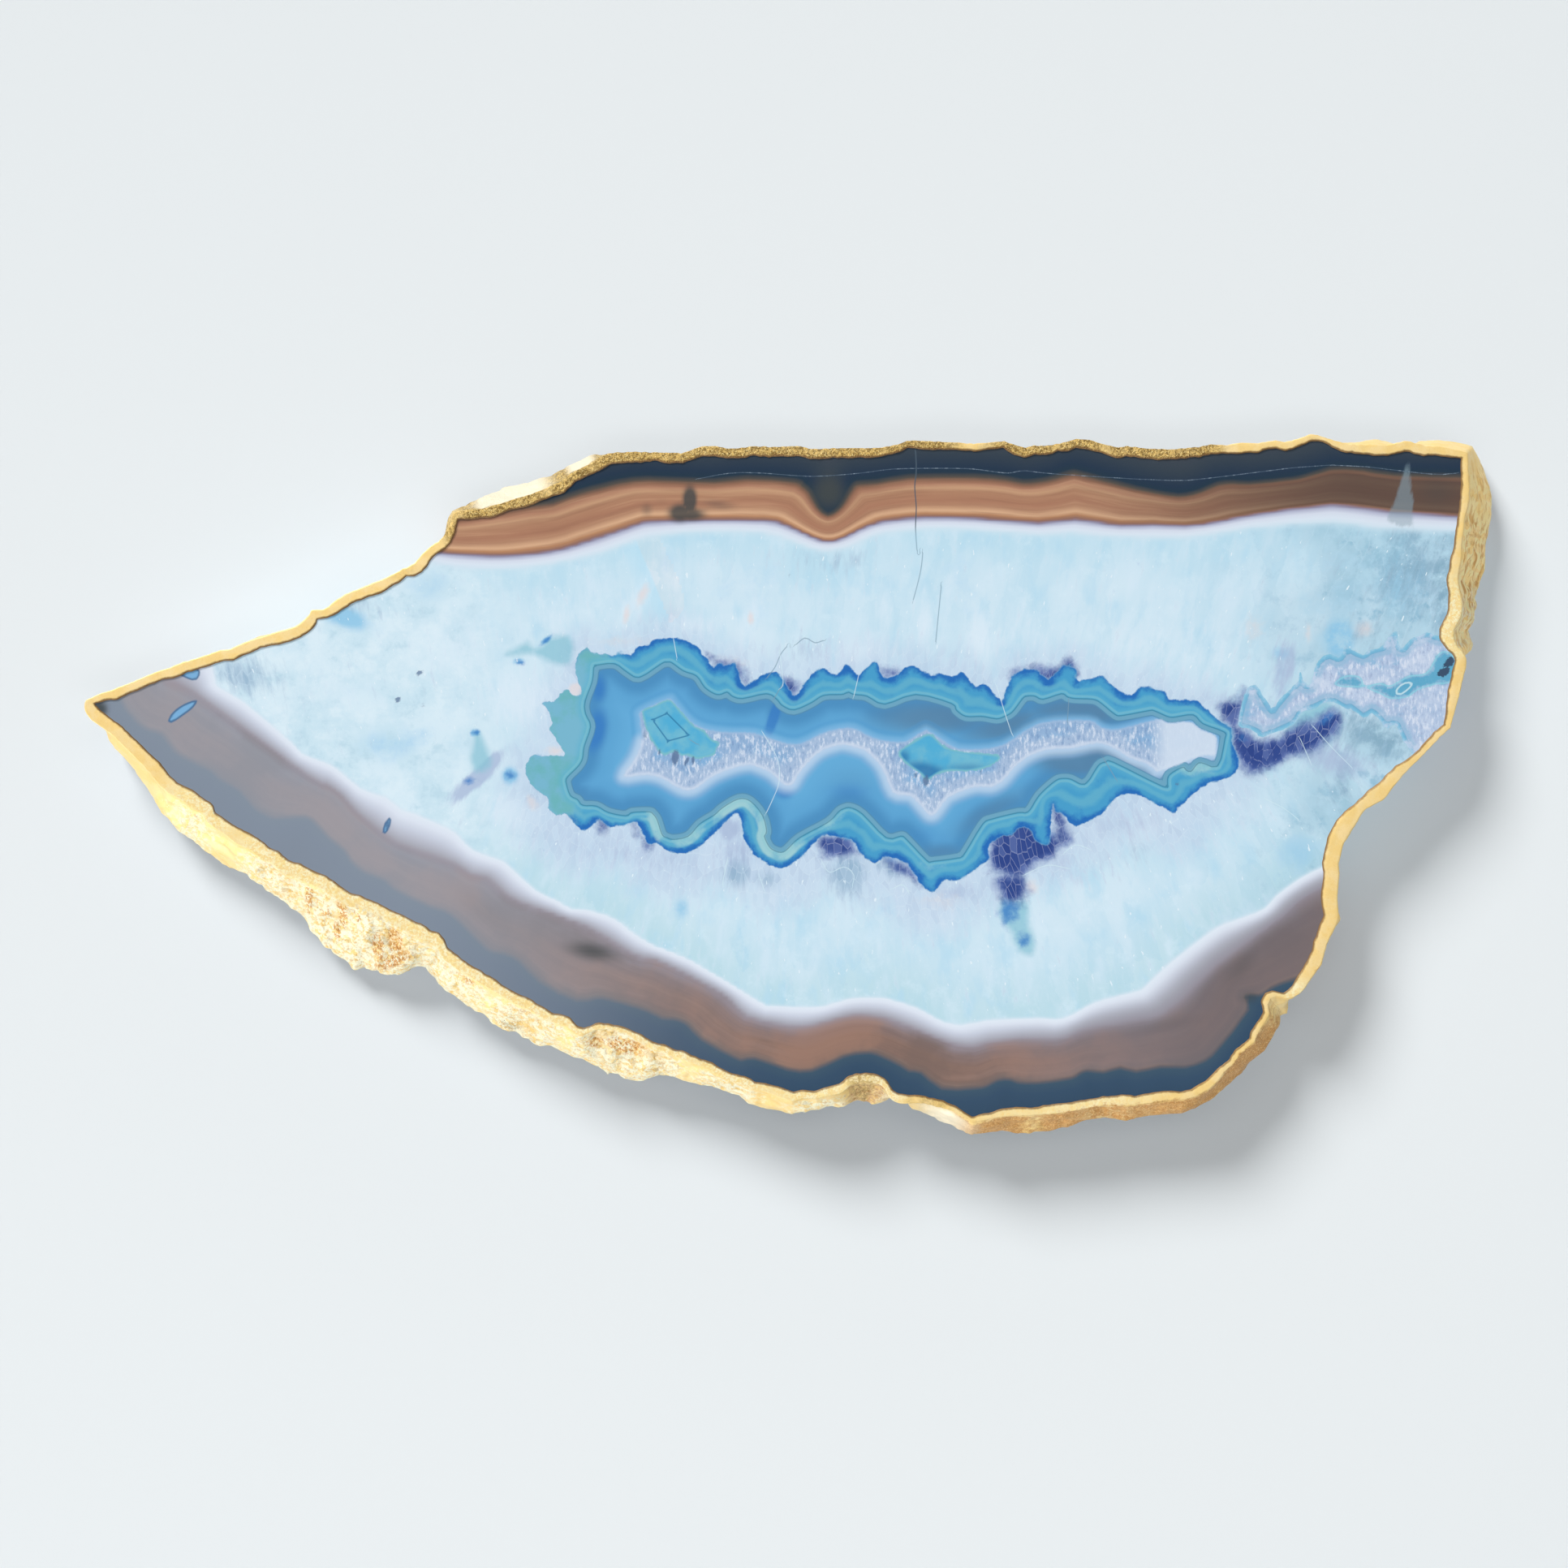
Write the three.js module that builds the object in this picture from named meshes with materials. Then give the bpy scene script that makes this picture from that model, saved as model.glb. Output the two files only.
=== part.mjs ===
// A large agate slice with a gilded rim, lying flat on its cut underside.
// Millimetres, +Z up; +X runs from the pointed end to the square end. The origin is on the resting
// plane, under the middle of the slice. The stone is one sawn and polished slab of a nodule, and the
// gilding is a thin metal skin that was built up over its rough rind: it laps on to the polished face,
// covers the whole side wall and stops just above the table.
import * as THREE from "three";

// Driving dimensions
const sliceLength = 374; // pointed end to square end, over the gilding
const sliceThickness = 20; // underside to the top of the gilding's lap
const gildingThickness = 0.5;
const lapRounding = 0.1; // the lap is this much thinner at its inner edge
const fitGap = 0.3; // left open between stone and gilding, so that the two solids never touch
const gildingLift = 0.4; // the gilding's lower edge stays this far above the table
const viewHeight = 1020; // height above the table from which the outlines below were read
const footHeight = 4.5; // height of the widest part of the side wall
const footTuck = 1.8; // the wall's return below its widest part
const hiddenTuck = 2.4; // the same, where the wall drops straight down and isn't seen from above
const flareRange = [0.2, 1.6]; // width of wall seen past the lap, from a hidden wall to a flared one
const reliefDepth = 2; // lumps and ledges of the rind, in and out
const reliefLength = 10; // their size along the rim
const reliefHeight = 6.5; // and up the wall
const wallHeights = [16, 12, 8, footHeight]; // rows of corners on the wall

// The outlines are points read from straight above, clockwise from the pointed end, x to the right and
// y down, in units of which sliceLength holds outlineSpan on the level of the polished face.
const outlineSpan = 1757;
const viewPoint = [966, 966]; // the outlines were read from straight above this point
const faceHeight = sliceThickness - gildingThickness - fitGap;
const unit = sliceLength / outlineSpan;
const footUnit = (unit * (viewHeight - footHeight)) / (viewHeight - faceHeight);

// Where the polished stone meets the gold
const goldLine = [
  [116, 867], [131, 863], [145, 862], [172, 851], [184, 844], [200, 838], [215, 836], [229, 829],
  [252, 823], [276, 815], [288, 814], [299, 808], [320, 800], [357, 790], [371, 785], [383, 776],
  [389, 769], [391, 763], [405, 761], [416, 756], [432, 744], [475, 728], [494, 717], [501, 711],
  [511, 710], [520, 705], [532, 689], [539, 682], [550, 676], [556, 668], [561, 658], [565, 641],
  [603, 638], [634, 628], [654, 623], [696, 606], [710, 594], [739, 580], [751, 572], [775, 570],
  [810, 568], [825, 571], [842, 571], [866, 562], [882, 562], [895, 565], [912, 565], [928, 561],
  [948, 563], [986, 562], [995, 565], [1012, 566], [1027, 564], [1072, 564], [1085, 563],
  [1108, 558], [1120, 552], [1135, 554], [1177, 555], [1200, 557], [1236, 552], [1250, 560],
  [1262, 564], [1275, 560], [1289, 561], [1304, 556], [1316, 556], [1326, 552], [1341, 554],
  [1376, 564], [1388, 562], [1422, 566], [1446, 566], [1479, 563], [1492, 559], [1514, 560],
  [1528, 558], [1550, 558], [1562, 554], [1572, 553], [1583, 556], [1592, 554], [1617, 544],
  [1630, 546], [1650, 556], [1660, 559], [1696, 561], [1710, 561], [1731, 556], [1754, 562],
  [1768, 561], [1800, 565], [1799, 580], [1800, 603], [1799, 620], [1795, 641], [1789, 680],
  [1782, 714], [1785, 742], [1783, 756], [1773, 774], [1773, 784], [1776, 793], [1782, 801],
  [1789, 806], [1793, 815], [1783, 852], [1779, 893], [1768, 901], [1740, 931], [1730, 939],
  [1720, 943], [1704, 960], [1692, 968], [1669, 989], [1646, 1010], [1635, 1032], [1629, 1060],
  [1630, 1074], [1628, 1104], [1631, 1128], [1619, 1157], [1613, 1181], [1598, 1204], [1593, 1214],
  [1582, 1222], [1568, 1220], [1558, 1223], [1554, 1234], [1556, 1246], [1541, 1271], [1538, 1279],
  [1520, 1295], [1514, 1304], [1502, 1314], [1494, 1324], [1485, 1332], [1468, 1341], [1455, 1344],
  [1433, 1344], [1398, 1349], [1360, 1350], [1329, 1356], [1310, 1359], [1271, 1364], [1252, 1364],
  [1236, 1366], [1198, 1375], [1176, 1361], [1163, 1356], [1140, 1350], [1127, 1349], [1118, 1350],
  [1108, 1348], [1100, 1343], [1096, 1334], [1090, 1328], [1082, 1324], [1069, 1322], [1055, 1322],
  [1046, 1326], [1034, 1336], [1003, 1343], [988, 1342], [978, 1345], [944, 1334], [931, 1332],
  [918, 1326], [900, 1322], [888, 1316], [877, 1308], [853, 1300], [841, 1294], [831, 1292],
  [820, 1287], [806, 1284], [777, 1268], [763, 1263], [749, 1260], [737, 1260], [719, 1266],
  [711, 1263], [703, 1254], [680, 1247], [655, 1232], [636, 1223], [597, 1199], [568, 1181],
  [552, 1167], [548, 1156], [541, 1150], [531, 1147], [520, 1139], [490, 1124], [457, 1109],
  [443, 1102], [430, 1099], [404, 1080], [370, 1065], [355, 1060], [343, 1048], [333, 1045],
  [319, 1033], [301, 1024], [266, 1000], [264, 993], [258, 987], [246, 981], [237, 973], [219, 964],
  [208, 954], [195, 938], [178, 921], [151, 895], [125, 877],
];

// The outermost edge, which is the lap's edge or, where the wall flares, the wall's widest part
const outerEdge = [
  [99, 865], [108, 858], [121, 851], [140, 847], [183, 832], [213, 820], [222, 818], [234, 812],
  [274, 800], [288, 799], [309, 785], [318, 782], [328, 783], [336, 779], [361, 773], [371, 769],
  [379, 761], [384, 752], [391, 748], [401, 752], [410, 742], [419, 735], [457, 722], [482, 707],
  [495, 703], [500, 696], [511, 694], [517, 686], [537, 668], [547, 662], [549, 650], [561, 619],
  [568, 613], [596, 609], [624, 600], [640, 598], [660, 599], [678, 598], [696, 576], [703, 573],
  [711, 567], [732, 560], [763, 556], [788, 555], [806, 558], [844, 556], [857, 551], [882, 550],
  [892, 553], [902, 551], [921, 552], [930, 550], [957, 551], [987, 549], [1000, 555], [1020, 552],
  [1045, 551], [1068, 550], [1091, 548], [1121, 543], [1142, 544], [1169, 543], [1184, 546],
  [1216, 547], [1236, 544], [1253, 545], [1264, 549], [1280, 550], [1299, 549], [1324, 541],
  [1351, 542], [1364, 544], [1377, 549], [1399, 545], [1415, 549], [1438, 552], [1464, 554],
  [1492, 548], [1522, 546], [1555, 545], [1592, 540], [1616, 534], [1644, 543], [1677, 543],
  [1715, 543], [1753, 541], [1790, 544], [1808, 546], [1820, 552], [1833, 578], [1835, 594],
  [1834, 624], [1833, 658], [1823, 688], [1825, 701], [1821, 715], [1820, 730], [1813, 758],
  [1816, 789], [1812, 804], [1807, 814], [1803, 831], [1798, 868], [1795, 880], [1786, 898],
  [1772, 910], [1746, 938], [1738, 944], [1731, 952], [1729, 957], [1720, 960], [1708, 984],
  [1700, 990], [1689, 988], [1684, 993], [1674, 1012], [1667, 1021], [1662, 1032], [1653, 1042],
  [1649, 1049], [1648, 1061], [1651, 1081], [1649, 1095], [1653, 1124], [1656, 1135], [1656, 1148],
  [1649, 1157], [1640, 1162], [1628, 1192], [1609, 1219], [1576, 1249], [1566, 1261], [1567, 1280],
  [1562, 1291], [1551, 1299], [1523, 1329], [1513, 1336], [1501, 1341], [1498, 1348], [1491, 1354],
  [1479, 1358], [1472, 1364], [1458, 1369], [1421, 1373], [1380, 1375], [1347, 1377], [1331, 1379],
  [1312, 1385], [1267, 1388], [1240, 1396], [1233, 1395], [1228, 1390], [1197, 1397], [1188, 1393],
  [1180, 1387], [1152, 1378], [1121, 1366], [1098, 1358], [1077, 1358], [1070, 1353], [1057, 1354],
  [1020, 1365], [978, 1374], [962, 1372], [954, 1367], [930, 1360], [917, 1362], [911, 1352],
  [900, 1343], [872, 1335], [846, 1328], [832, 1334], [822, 1326], [812, 1326], [798, 1333],
  [782, 1333], [760, 1328], [733, 1318], [722, 1304], [697, 1297], [687, 1299], [677, 1292],
  [642, 1277], [635, 1269], [621, 1262], [611, 1259], [601, 1251], [583, 1243], [570, 1232],
  [546, 1219], [531, 1207], [525, 1199], [515, 1191], [507, 1191], [498, 1199], [478, 1205],
  [463, 1201], [451, 1200], [428, 1185], [402, 1167], [389, 1146], [358, 1113], [324, 1090],
  [287, 1065], [279, 1066], [262, 1055], [252, 1045], [235, 1040], [225, 1028], [203, 1005],
  [198, 995], [188, 983], [182, 967], [172, 952], [147, 931], [137, 917], [123, 907], [103, 879],
];

// Width of the flat lap of gold on the polished face, at places along the gold line, in its units
const lapWidths = [
  [116, 867, 14], [200, 838, 15], [391, 763, 14], [501, 711, 15], [565, 641, 12], [670, 617, 13],
  [751, 572, 13], [1120, 552, 11], [1464, 564, 12], [1617, 544, 11], [1731, 556, 13],
  [1800, 565, 11], [1795, 641, 9], [1785, 698, 14], [1773, 774, 19], [1793, 815, 15],
  [1680, 979, 26], [1631, 1048, 22], [1613, 1181, 16], [1554, 1234, 9], [1514, 1304, 9],
  [1398, 1349, 13], [1271, 1364, 11], [1198, 1375, 9], [1100, 1343, 11], [978, 1345, 12],
  [864, 1303, 10], [749, 1260, 9], [617, 1211, 13], [490, 1124, 18], [355, 1060, 18],
  [219, 964, 18], [137, 886, 16],
];

const onLevel = (scale) => ([x, y]) =>
  new THREE.Vector2((x - viewPoint[0]) * scale, (viewPoint[1] - y) * scale);

const { lerp, smoothstep, clamp } = THREE.MathUtils;

// The value at a corner of a noise grid that closes on itself after cells steps in x
function cornerValue(x, y, cells) {
  const wrapped = THREE.MathUtils.euclideanModulo(x, cells);
  const s = Math.sin(wrapped * 12.9898 + y * 78.233) * 43758.5453;
  return (s - Math.floor(s)) * 2 - 1;
}

// Smooth noise from -1 to 1 on that grid
function closedNoise(x, y, cells) {
  const [x0, y0] = [Math.floor(x), Math.floor(y)];
  const [u, v] = [smoothstep(x - x0, 0, 1), smoothstep(y - y0, 0, 1)];
  const low = lerp(cornerValue(x0, y0, cells), cornerValue(x0 + 1, y0, cells), u);
  const high = lerp(cornerValue(x0, y0 + 1, cells), cornerValue(x0 + 1, y0 + 1, cells), u);
  return lerp(low, high, v);
}

// Distance from a point along a direction to the nearest crossing with a closed outline
function reachTo(outline, from, direction) {
  let nearest = Infinity;
  outline.forEach((a, i) => {
    const edge = outline[(i + 1) % outline.length].clone().sub(a);
    const offset = a.clone().sub(from);
    const slant = direction.cross(edge);
    const along = offset.cross(edge) / slant;
    const share = offset.cross(direction) / slant;
    if (along > 0 && share >= 0 && share <= 1) nearest = Math.min(nearest, along);
  });
  return nearest;
}

// The mean round a closed list of each value and its neighbours on either side
const evened = (values) =>
  values.map((value, i) => (values.at(i - 1) + 2 * value + values[(i + 1) % values.length]) / 4);

// Points of the gold line as stations round the rim: each has the way straight out from it, how wide
// the lap is, how far out the foot of the wall is and how much of the wall is seen from above
function rimStations() {
  const normalSpan = 5; // neighbours that share in the outward direction, so that it turns gently
  const points = goldLine.map(onLevel(unit));
  const count = points.length;
  const near = (i) => points[THREE.MathUtils.euclideanModulo(i, count)];
  const lapEdge = outerEdge.map(onLevel(unit));
  const footEdge = outerEdge.map(onLevel(footUnit));

  const outward = points.map((_, i) => {
    const along = new THREE.Vector2();
    for (let k = 1; k <= normalSpan; k += 1) along.add(near(i + k)).sub(near(i - k));
    return new THREE.Vector2(-along.y, along.x).normalize();
  });

  const lapPlaces = lapWidths.map(([x, y, width]) => {
    const place = onLevel(unit)([x, y]);
    const gaps = points.map((point) => point.distanceTo(place));
    return [gaps.indexOf(Math.min(...gaps)), width * unit];
  });
  const plannedLap = points.map((_, i) => {
    const next = lapPlaces.findIndex(([place]) => place > i);
    const [placeAfter, widthAfter] = lapPlaces.at(next === -1 ? 0 : next);
    const [placeBefore, widthBefore] = lapPlaces.at(next === -1 ? -1 : next - 1);
    const span = THREE.MathUtils.euclideanModulo(placeAfter - placeBefore, count);
    return lerp(widthBefore, widthAfter, (i - placeBefore) / span);
  });

  const visible = points.map((point, i) => reachTo(lapEdge, point, outward[i]));
  const flared = evened(points.map((point, i) => reachTo(footEdge, point, outward[i])));
  let travelled = 0;
  return points.map((point, i) => {
    const lap = Math.min(plannedLap[i], visible[i]);
    const flare = smoothstep(visible[i] - lap, ...flareRange);
    const foot = lerp(lap - hiddenTuck, flared[i], flare);
    travelled += point.distanceTo(near(i - 1));
    return { point, outward: outward[i], lap, foot, flare, travelled };
  });
}

const stations = rimStations();
const reliefCells = Math.round(stations.at(-1).travelled / reliefLength);

// How far the outside of the rim is from the gold line, at a height on the wall
function wallReach(station, height) {
  const shoulder = sliceThickness - gildingThickness;
  const down = clamp((shoulder - height) / (shoulder - footHeight), 0, 1);
  const bulge = Math.sin((down * Math.PI) / 2) ** 1.2;
  const turnedUnder = smoothstep(footHeight - height, 0, footHeight) * footTuck;
  const around = (station.travelled / stations.at(-1).travelled) * reliefCells;
  const relief = closedNoise(around, height / reliefHeight, reliefCells) * reliefDepth;
  const calm = lerp(0.8, 1, station.flare) * smoothstep(down, 0, 0.3) * lerp(1, 0.4, down ** 3);
  return lerp(station.lap, station.foot, bulge) - turnedUnder + relief * calm;
}

function placed({ point, outward }, reach, height) {
  return new THREE.Vector3(point.x + outward.x * reach, point.y + outward.y * reach, height);
}

// The wall from just under the shoulder down to a height, moved in by a distance
const wallPoints = (station, inset, lowest) =>
  [...wallHeights, lowest].map((height) => placed(station, wallReach(station, height) - inset, height));

// The gilding's cross-section: out over the lap, down the wall and up again on its inner side
function gildingSection(station) {
  const innerFace = faceHeight + fitGap;
  return [
    placed(station, 0, sliceThickness - lapRounding),
    placed(station, station.lap * 0.6, sliceThickness),
    placed(station, station.lap, sliceThickness - gildingThickness),
    ...wallPoints(station, 0, gildingLift),
    ...wallPoints(station, gildingThickness, gildingLift).toReversed(),
    placed(station, station.lap - gildingThickness, innerFace),
    placed(station, 0, innerFace),
  ];
}

// The stone's, from the polished face's edge down to the underside's
function stoneSection(station) {
  const inset = gildingThickness + fitGap;
  return [placed(station, station.lap - inset, faceHeight), ...wallPoints(station, inset, 0)];
}

// Two triangles between neighbouring cross-sections, always parted along the line that falls from the
// first section to the second, so that surfaces which lie close together are parted alike
function patch(falls, a, b, c, d) {
  return falls ? [a, b, c, a, c, d] : [a, b, d, b, c, d];
}

// A flat cap over one point of every cross-section, facing up or down
function cap(sections, k, facesUp) {
  const outline = sections.map((section) => new THREE.Vector2(section[k].x, section[k].y));
  return THREE.ShapeUtils.triangulateShape(outline, []).flatMap(([a, b, c]) => {
    const edge = outline[b].clone().sub(outline[a]);
    const turnsLeft = edge.cross(outline[c].clone().sub(outline[a])) > 0;
    const corners = turnsLeft === facesUp ? [a, b, c] : [a, c, b];
    return corners.map((i) => i * sections[i].length + k);
  });
}

// Joins the cross-sections round the rim, either into a ring or into a slab with a cap on each face
function sweptGeometry(sections, isRing) {
  const columns = sections[0].length;
  const faces = [];
  sections.forEach((section, i) => {
    const here = i * columns;
    const next = ((i + 1) % sections.length) * columns;
    for (let k = 0; k < (isRing ? columns : columns - 1); k += 1) {
      const after = (k + 1) % columns;
      const falls = section[k].z >= section[after].z;
      faces.push(...patch(falls, here + k, next + k, next + after, here + after));
    }
  });
  if (!isRing) faces.push(...cap(sections, 0, true), ...cap(sections, columns - 1, false));
  const geometry = new THREE.BufferGeometry();
  geometry.setFromPoints(sections.flat());
  geometry.setIndex(faces);
  geometry.computeVertexNormals();
  return geometry;
}

const chalcedony = new THREE.MeshStandardMaterial({ color: 0x9fcbe0, roughness: 0.12 });
const goldPlate = new THREE.MeshStandardMaterial({ color: 0xe3b65a, roughness: 0.35, metalness: 1 });

function namedMesh(name, geometry, material) {
  const mesh = new THREE.Mesh(geometry, material);
  mesh.name = name;
  return mesh;
}

const slice = new THREE.Group();
slice.add(namedMesh("agate_slab", sweptGeometry(stations.map(stoneSection), false), chalcedony));
slice.add(namedMesh("gilded_rim", sweptGeometry(stations.map(gildingSection), true), goldPlate));

// The origin is under the middle of the slice
const middle = new THREE.Box3().setFromObject(slice).getCenter(new THREE.Vector3());
slice.position.set(-middle.x, -middle.y, 0);

export default slice;
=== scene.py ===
"""A large agate slice with a gilded rim, lying flat on its cut underside.

The polished face carries its pattern as fields. Each corner of the stone's mesh holds how far it is,
in millimetres, from the outlines of the bands, the blue core and the stains, and the stone's material
turns these distances into crisp bands, hairlines and soft stains. The gilding is a section carried
round the slice, with the lumps and pits of the rind it was built up on.
"""

import bpy
import numpy as np
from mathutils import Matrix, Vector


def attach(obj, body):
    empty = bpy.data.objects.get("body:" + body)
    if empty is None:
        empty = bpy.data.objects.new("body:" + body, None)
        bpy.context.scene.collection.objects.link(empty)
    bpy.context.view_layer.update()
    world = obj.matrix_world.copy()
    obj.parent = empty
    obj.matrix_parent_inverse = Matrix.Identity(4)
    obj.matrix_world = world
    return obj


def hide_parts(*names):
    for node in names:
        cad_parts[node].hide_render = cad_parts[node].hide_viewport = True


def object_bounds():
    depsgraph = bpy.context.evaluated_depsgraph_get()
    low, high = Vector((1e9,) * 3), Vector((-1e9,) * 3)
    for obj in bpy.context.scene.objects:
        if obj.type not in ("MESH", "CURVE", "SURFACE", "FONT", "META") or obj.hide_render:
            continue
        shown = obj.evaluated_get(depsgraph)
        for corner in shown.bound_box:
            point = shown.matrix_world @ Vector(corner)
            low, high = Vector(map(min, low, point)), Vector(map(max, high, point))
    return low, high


bl_info = {
    "name": "Gilded Agate Slice",
    "version": (1, 0, 0),
    "blender": (4, 5, 0),
    "location": "View3D > Sidebar > Agate",
    "description": "Builds the stone, the gilding and the stage of a gilded agate slice",
    "category": "Object",
}

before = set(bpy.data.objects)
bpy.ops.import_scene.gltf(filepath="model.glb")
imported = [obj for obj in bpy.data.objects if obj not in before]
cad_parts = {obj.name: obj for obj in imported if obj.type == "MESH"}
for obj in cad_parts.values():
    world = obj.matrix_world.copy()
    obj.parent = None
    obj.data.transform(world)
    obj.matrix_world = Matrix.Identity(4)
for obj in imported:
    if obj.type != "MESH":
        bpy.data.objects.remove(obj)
CAD_BOX = [list(corner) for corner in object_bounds()]

MM = 0.001
# The outlines below were read from straight above VIEW_POINT, VIEW_HEIGHT over the table, in the
# pixels of a square picture; FACE_UNIT is what one pixel is on the polished face.
VIEW_POINT = (-2.072, 0.519)
VIEW_HEIGHT = 1020.0
PICTURE_MIDDLE = 966
FACE_UNIT = 0.21286
# Every level of the rim is one loop round this point, so its corners can be put in order by angle.
LOOP_POINT = (32.0, 2.0)

# Bands along the long straight side: dark blue to brown, brown to white, white to crystal
UPPER_BROWN = [
    (480, 640), (540, 640), (600, 630), (650, 619), (680, 616), (700, 608), (760, 592), (800, 588),
    (880, 591), (920, 587), (980, 591), (990, 596), (1000, 605), (1010, 625), (1020, 633),
    (1030, 628), (1038, 618), (1050, 597), (1060, 593), (1080, 592), (1120, 586), (1200, 585),
    (1240, 588), (1260, 592), (1280, 591), (1300, 587), (1320, 580), (1335, 582), (1400, 600),
    (1440, 608), (1460, 609), (1480, 604), (1500, 595), (1520, 593), (1540, 594), (1600, 588),
    (1640, 576), (1680, 577), (1720, 583), (1860, 586),
]
UPPER_WHITE = [
    (480, 676), (580, 684), (620, 685), (660, 682), (700, 675), (780, 648), (800, 643), (860, 641),
    (940, 641), (965, 646), (990, 657), (1008, 665), (1022, 667), (1036, 664), (1060, 652), (1080, 645), (1100, 641),
    (1140, 638), (1200, 639), (1280, 645), (1325, 640), (1380, 648), (1420, 646), (1460, 648),
    (1500, 643), (1540, 635), (1640, 622), (1720, 631), (1860, 640),
]
UPPER_CRYSTAL = [
    (480, 688), (535, 693), (560, 698), (600, 700), (640, 699), (680, 694), (740, 681), (783, 665),
    (820, 658), (880, 654), (940, 656), (972, 665), (1000, 675), (1020, 678), (1050, 672), (1080, 658),
    (1140, 651), (1200, 652), (1280, 658), (1320, 656), (1360, 660), (1460, 662), (1540, 650),
    (1645, 643), (1700, 650), (1860, 655),
]
# The hairline in the upper dark-blue band
UPPER_HAIRLINE = [
    (860, 590), (900, 583), (940, 583), (1000, 587), (1060, 583), (1100, 578), (1160, 577),
    (1200, 578), (1240, 583), (1262, 580), (1300, 584), (1440, 592), (1500, 588), (1640, 573),
    (1760, 584), (1795, 583),
]

# Bands along the curved side, from the pointed end: blue to brown, brown to white, white to crystal
LOWER_BROWN = [
    (146, 840), (150, 865), (160, 880), (172, 893), (185, 900), (200, 905), (215, 925), (230, 935),
    (260, 950), (270, 960), (295, 975), (312, 995), (325, 1003), (340, 1008), (370, 1006),
    (385, 1010), (405, 1032), (425, 1048), (432, 1060), (440, 1068), (450, 1075), (475, 1085),
    (485, 1095), (530, 1117), (548, 1123), (565, 1135), (600, 1170), (620, 1175), (640, 1185),
    (665, 1210), (710, 1233), (735, 1230), (750, 1232), (795, 1245), (815, 1255), (830, 1256),
    (840, 1259), (848, 1264), (865, 1281), (905, 1303), (915, 1306), (930, 1304), (970, 1317),
    (1000, 1319), (1040, 1301), (1065, 1297), (1080, 1299), (1110, 1313), (1120, 1320),
    (1135, 1322), (1160, 1341), (1200, 1341), (1215, 1339), (1230, 1331), (1245, 1330),
    (1255, 1334), (1280, 1334), (1320, 1328), (1330, 1322), (1340, 1319), (1360, 1321),
    (1380, 1315), (1400, 1320), (1430, 1314), (1460, 1315), (1480, 1309), (1490, 1303),
    (1500, 1293), (1538, 1243), (1532, 1226), (1553, 1226), (1567, 1216), (1597, 1205),
    (1640, 1195),
]
LOWER_WHITE = [
    (200, 820), (205, 838), (238, 853), (380, 957), (400, 966), (420, 979), (440, 1002),
    (480, 1035), (500, 1045), (560, 1065), (580, 1078), (600, 1082), (620, 1100), (640, 1112),
    (720, 1140), (780, 1176), (800, 1180), (820, 1187), (880, 1218), (900, 1232), (920, 1252),
    (960, 1262), (980, 1265), (1000, 1263), (1040, 1252), (1060, 1250), (1080, 1252), (1100, 1257),
    (1160, 1281), (1180, 1287), (1200, 1289), (1220, 1284), (1260, 1280), (1300, 1281),
    (1320, 1276), (1340, 1268), (1420, 1255), (1440, 1245), (1460, 1230), (1500, 1190),
    (1580, 1130), (1600, 1112), (1629, 1095), (1680, 1070),
]
LOWER_CRYSTAL = [
    (256, 790), (264, 835), (268, 847), (300, 866), (360, 917), (372, 930), (400, 940), (415, 948),
    (445, 973), (475, 983), (495, 999), (510, 1003), (553, 1022), (565, 1031), (582, 1048),
    (615, 1060), (625, 1066), (660, 1098), (685, 1110), (695, 1117), (705, 1121), (720, 1122),
    (748, 1129), (766, 1139), (775, 1147), (805, 1166), (850, 1184), (935, 1235), (950, 1240),
    (1000, 1242), (1020, 1239), (1040, 1233), (1060, 1230), (1080, 1230), (1095, 1232),
    (1130, 1243), (1155, 1257), (1170, 1262), (1185, 1264), (1215, 1258), (1280, 1255),
    (1300, 1257), (1320, 1252), (1340, 1240), (1360, 1232), (1400, 1222), (1410, 1217),
    (1440, 1188), (1490, 1149), (1510, 1138), (1540, 1128), (1560, 1119), (1572, 1105),
    (1590, 1091), (1620, 1073), (1680, 1050),
]

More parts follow.
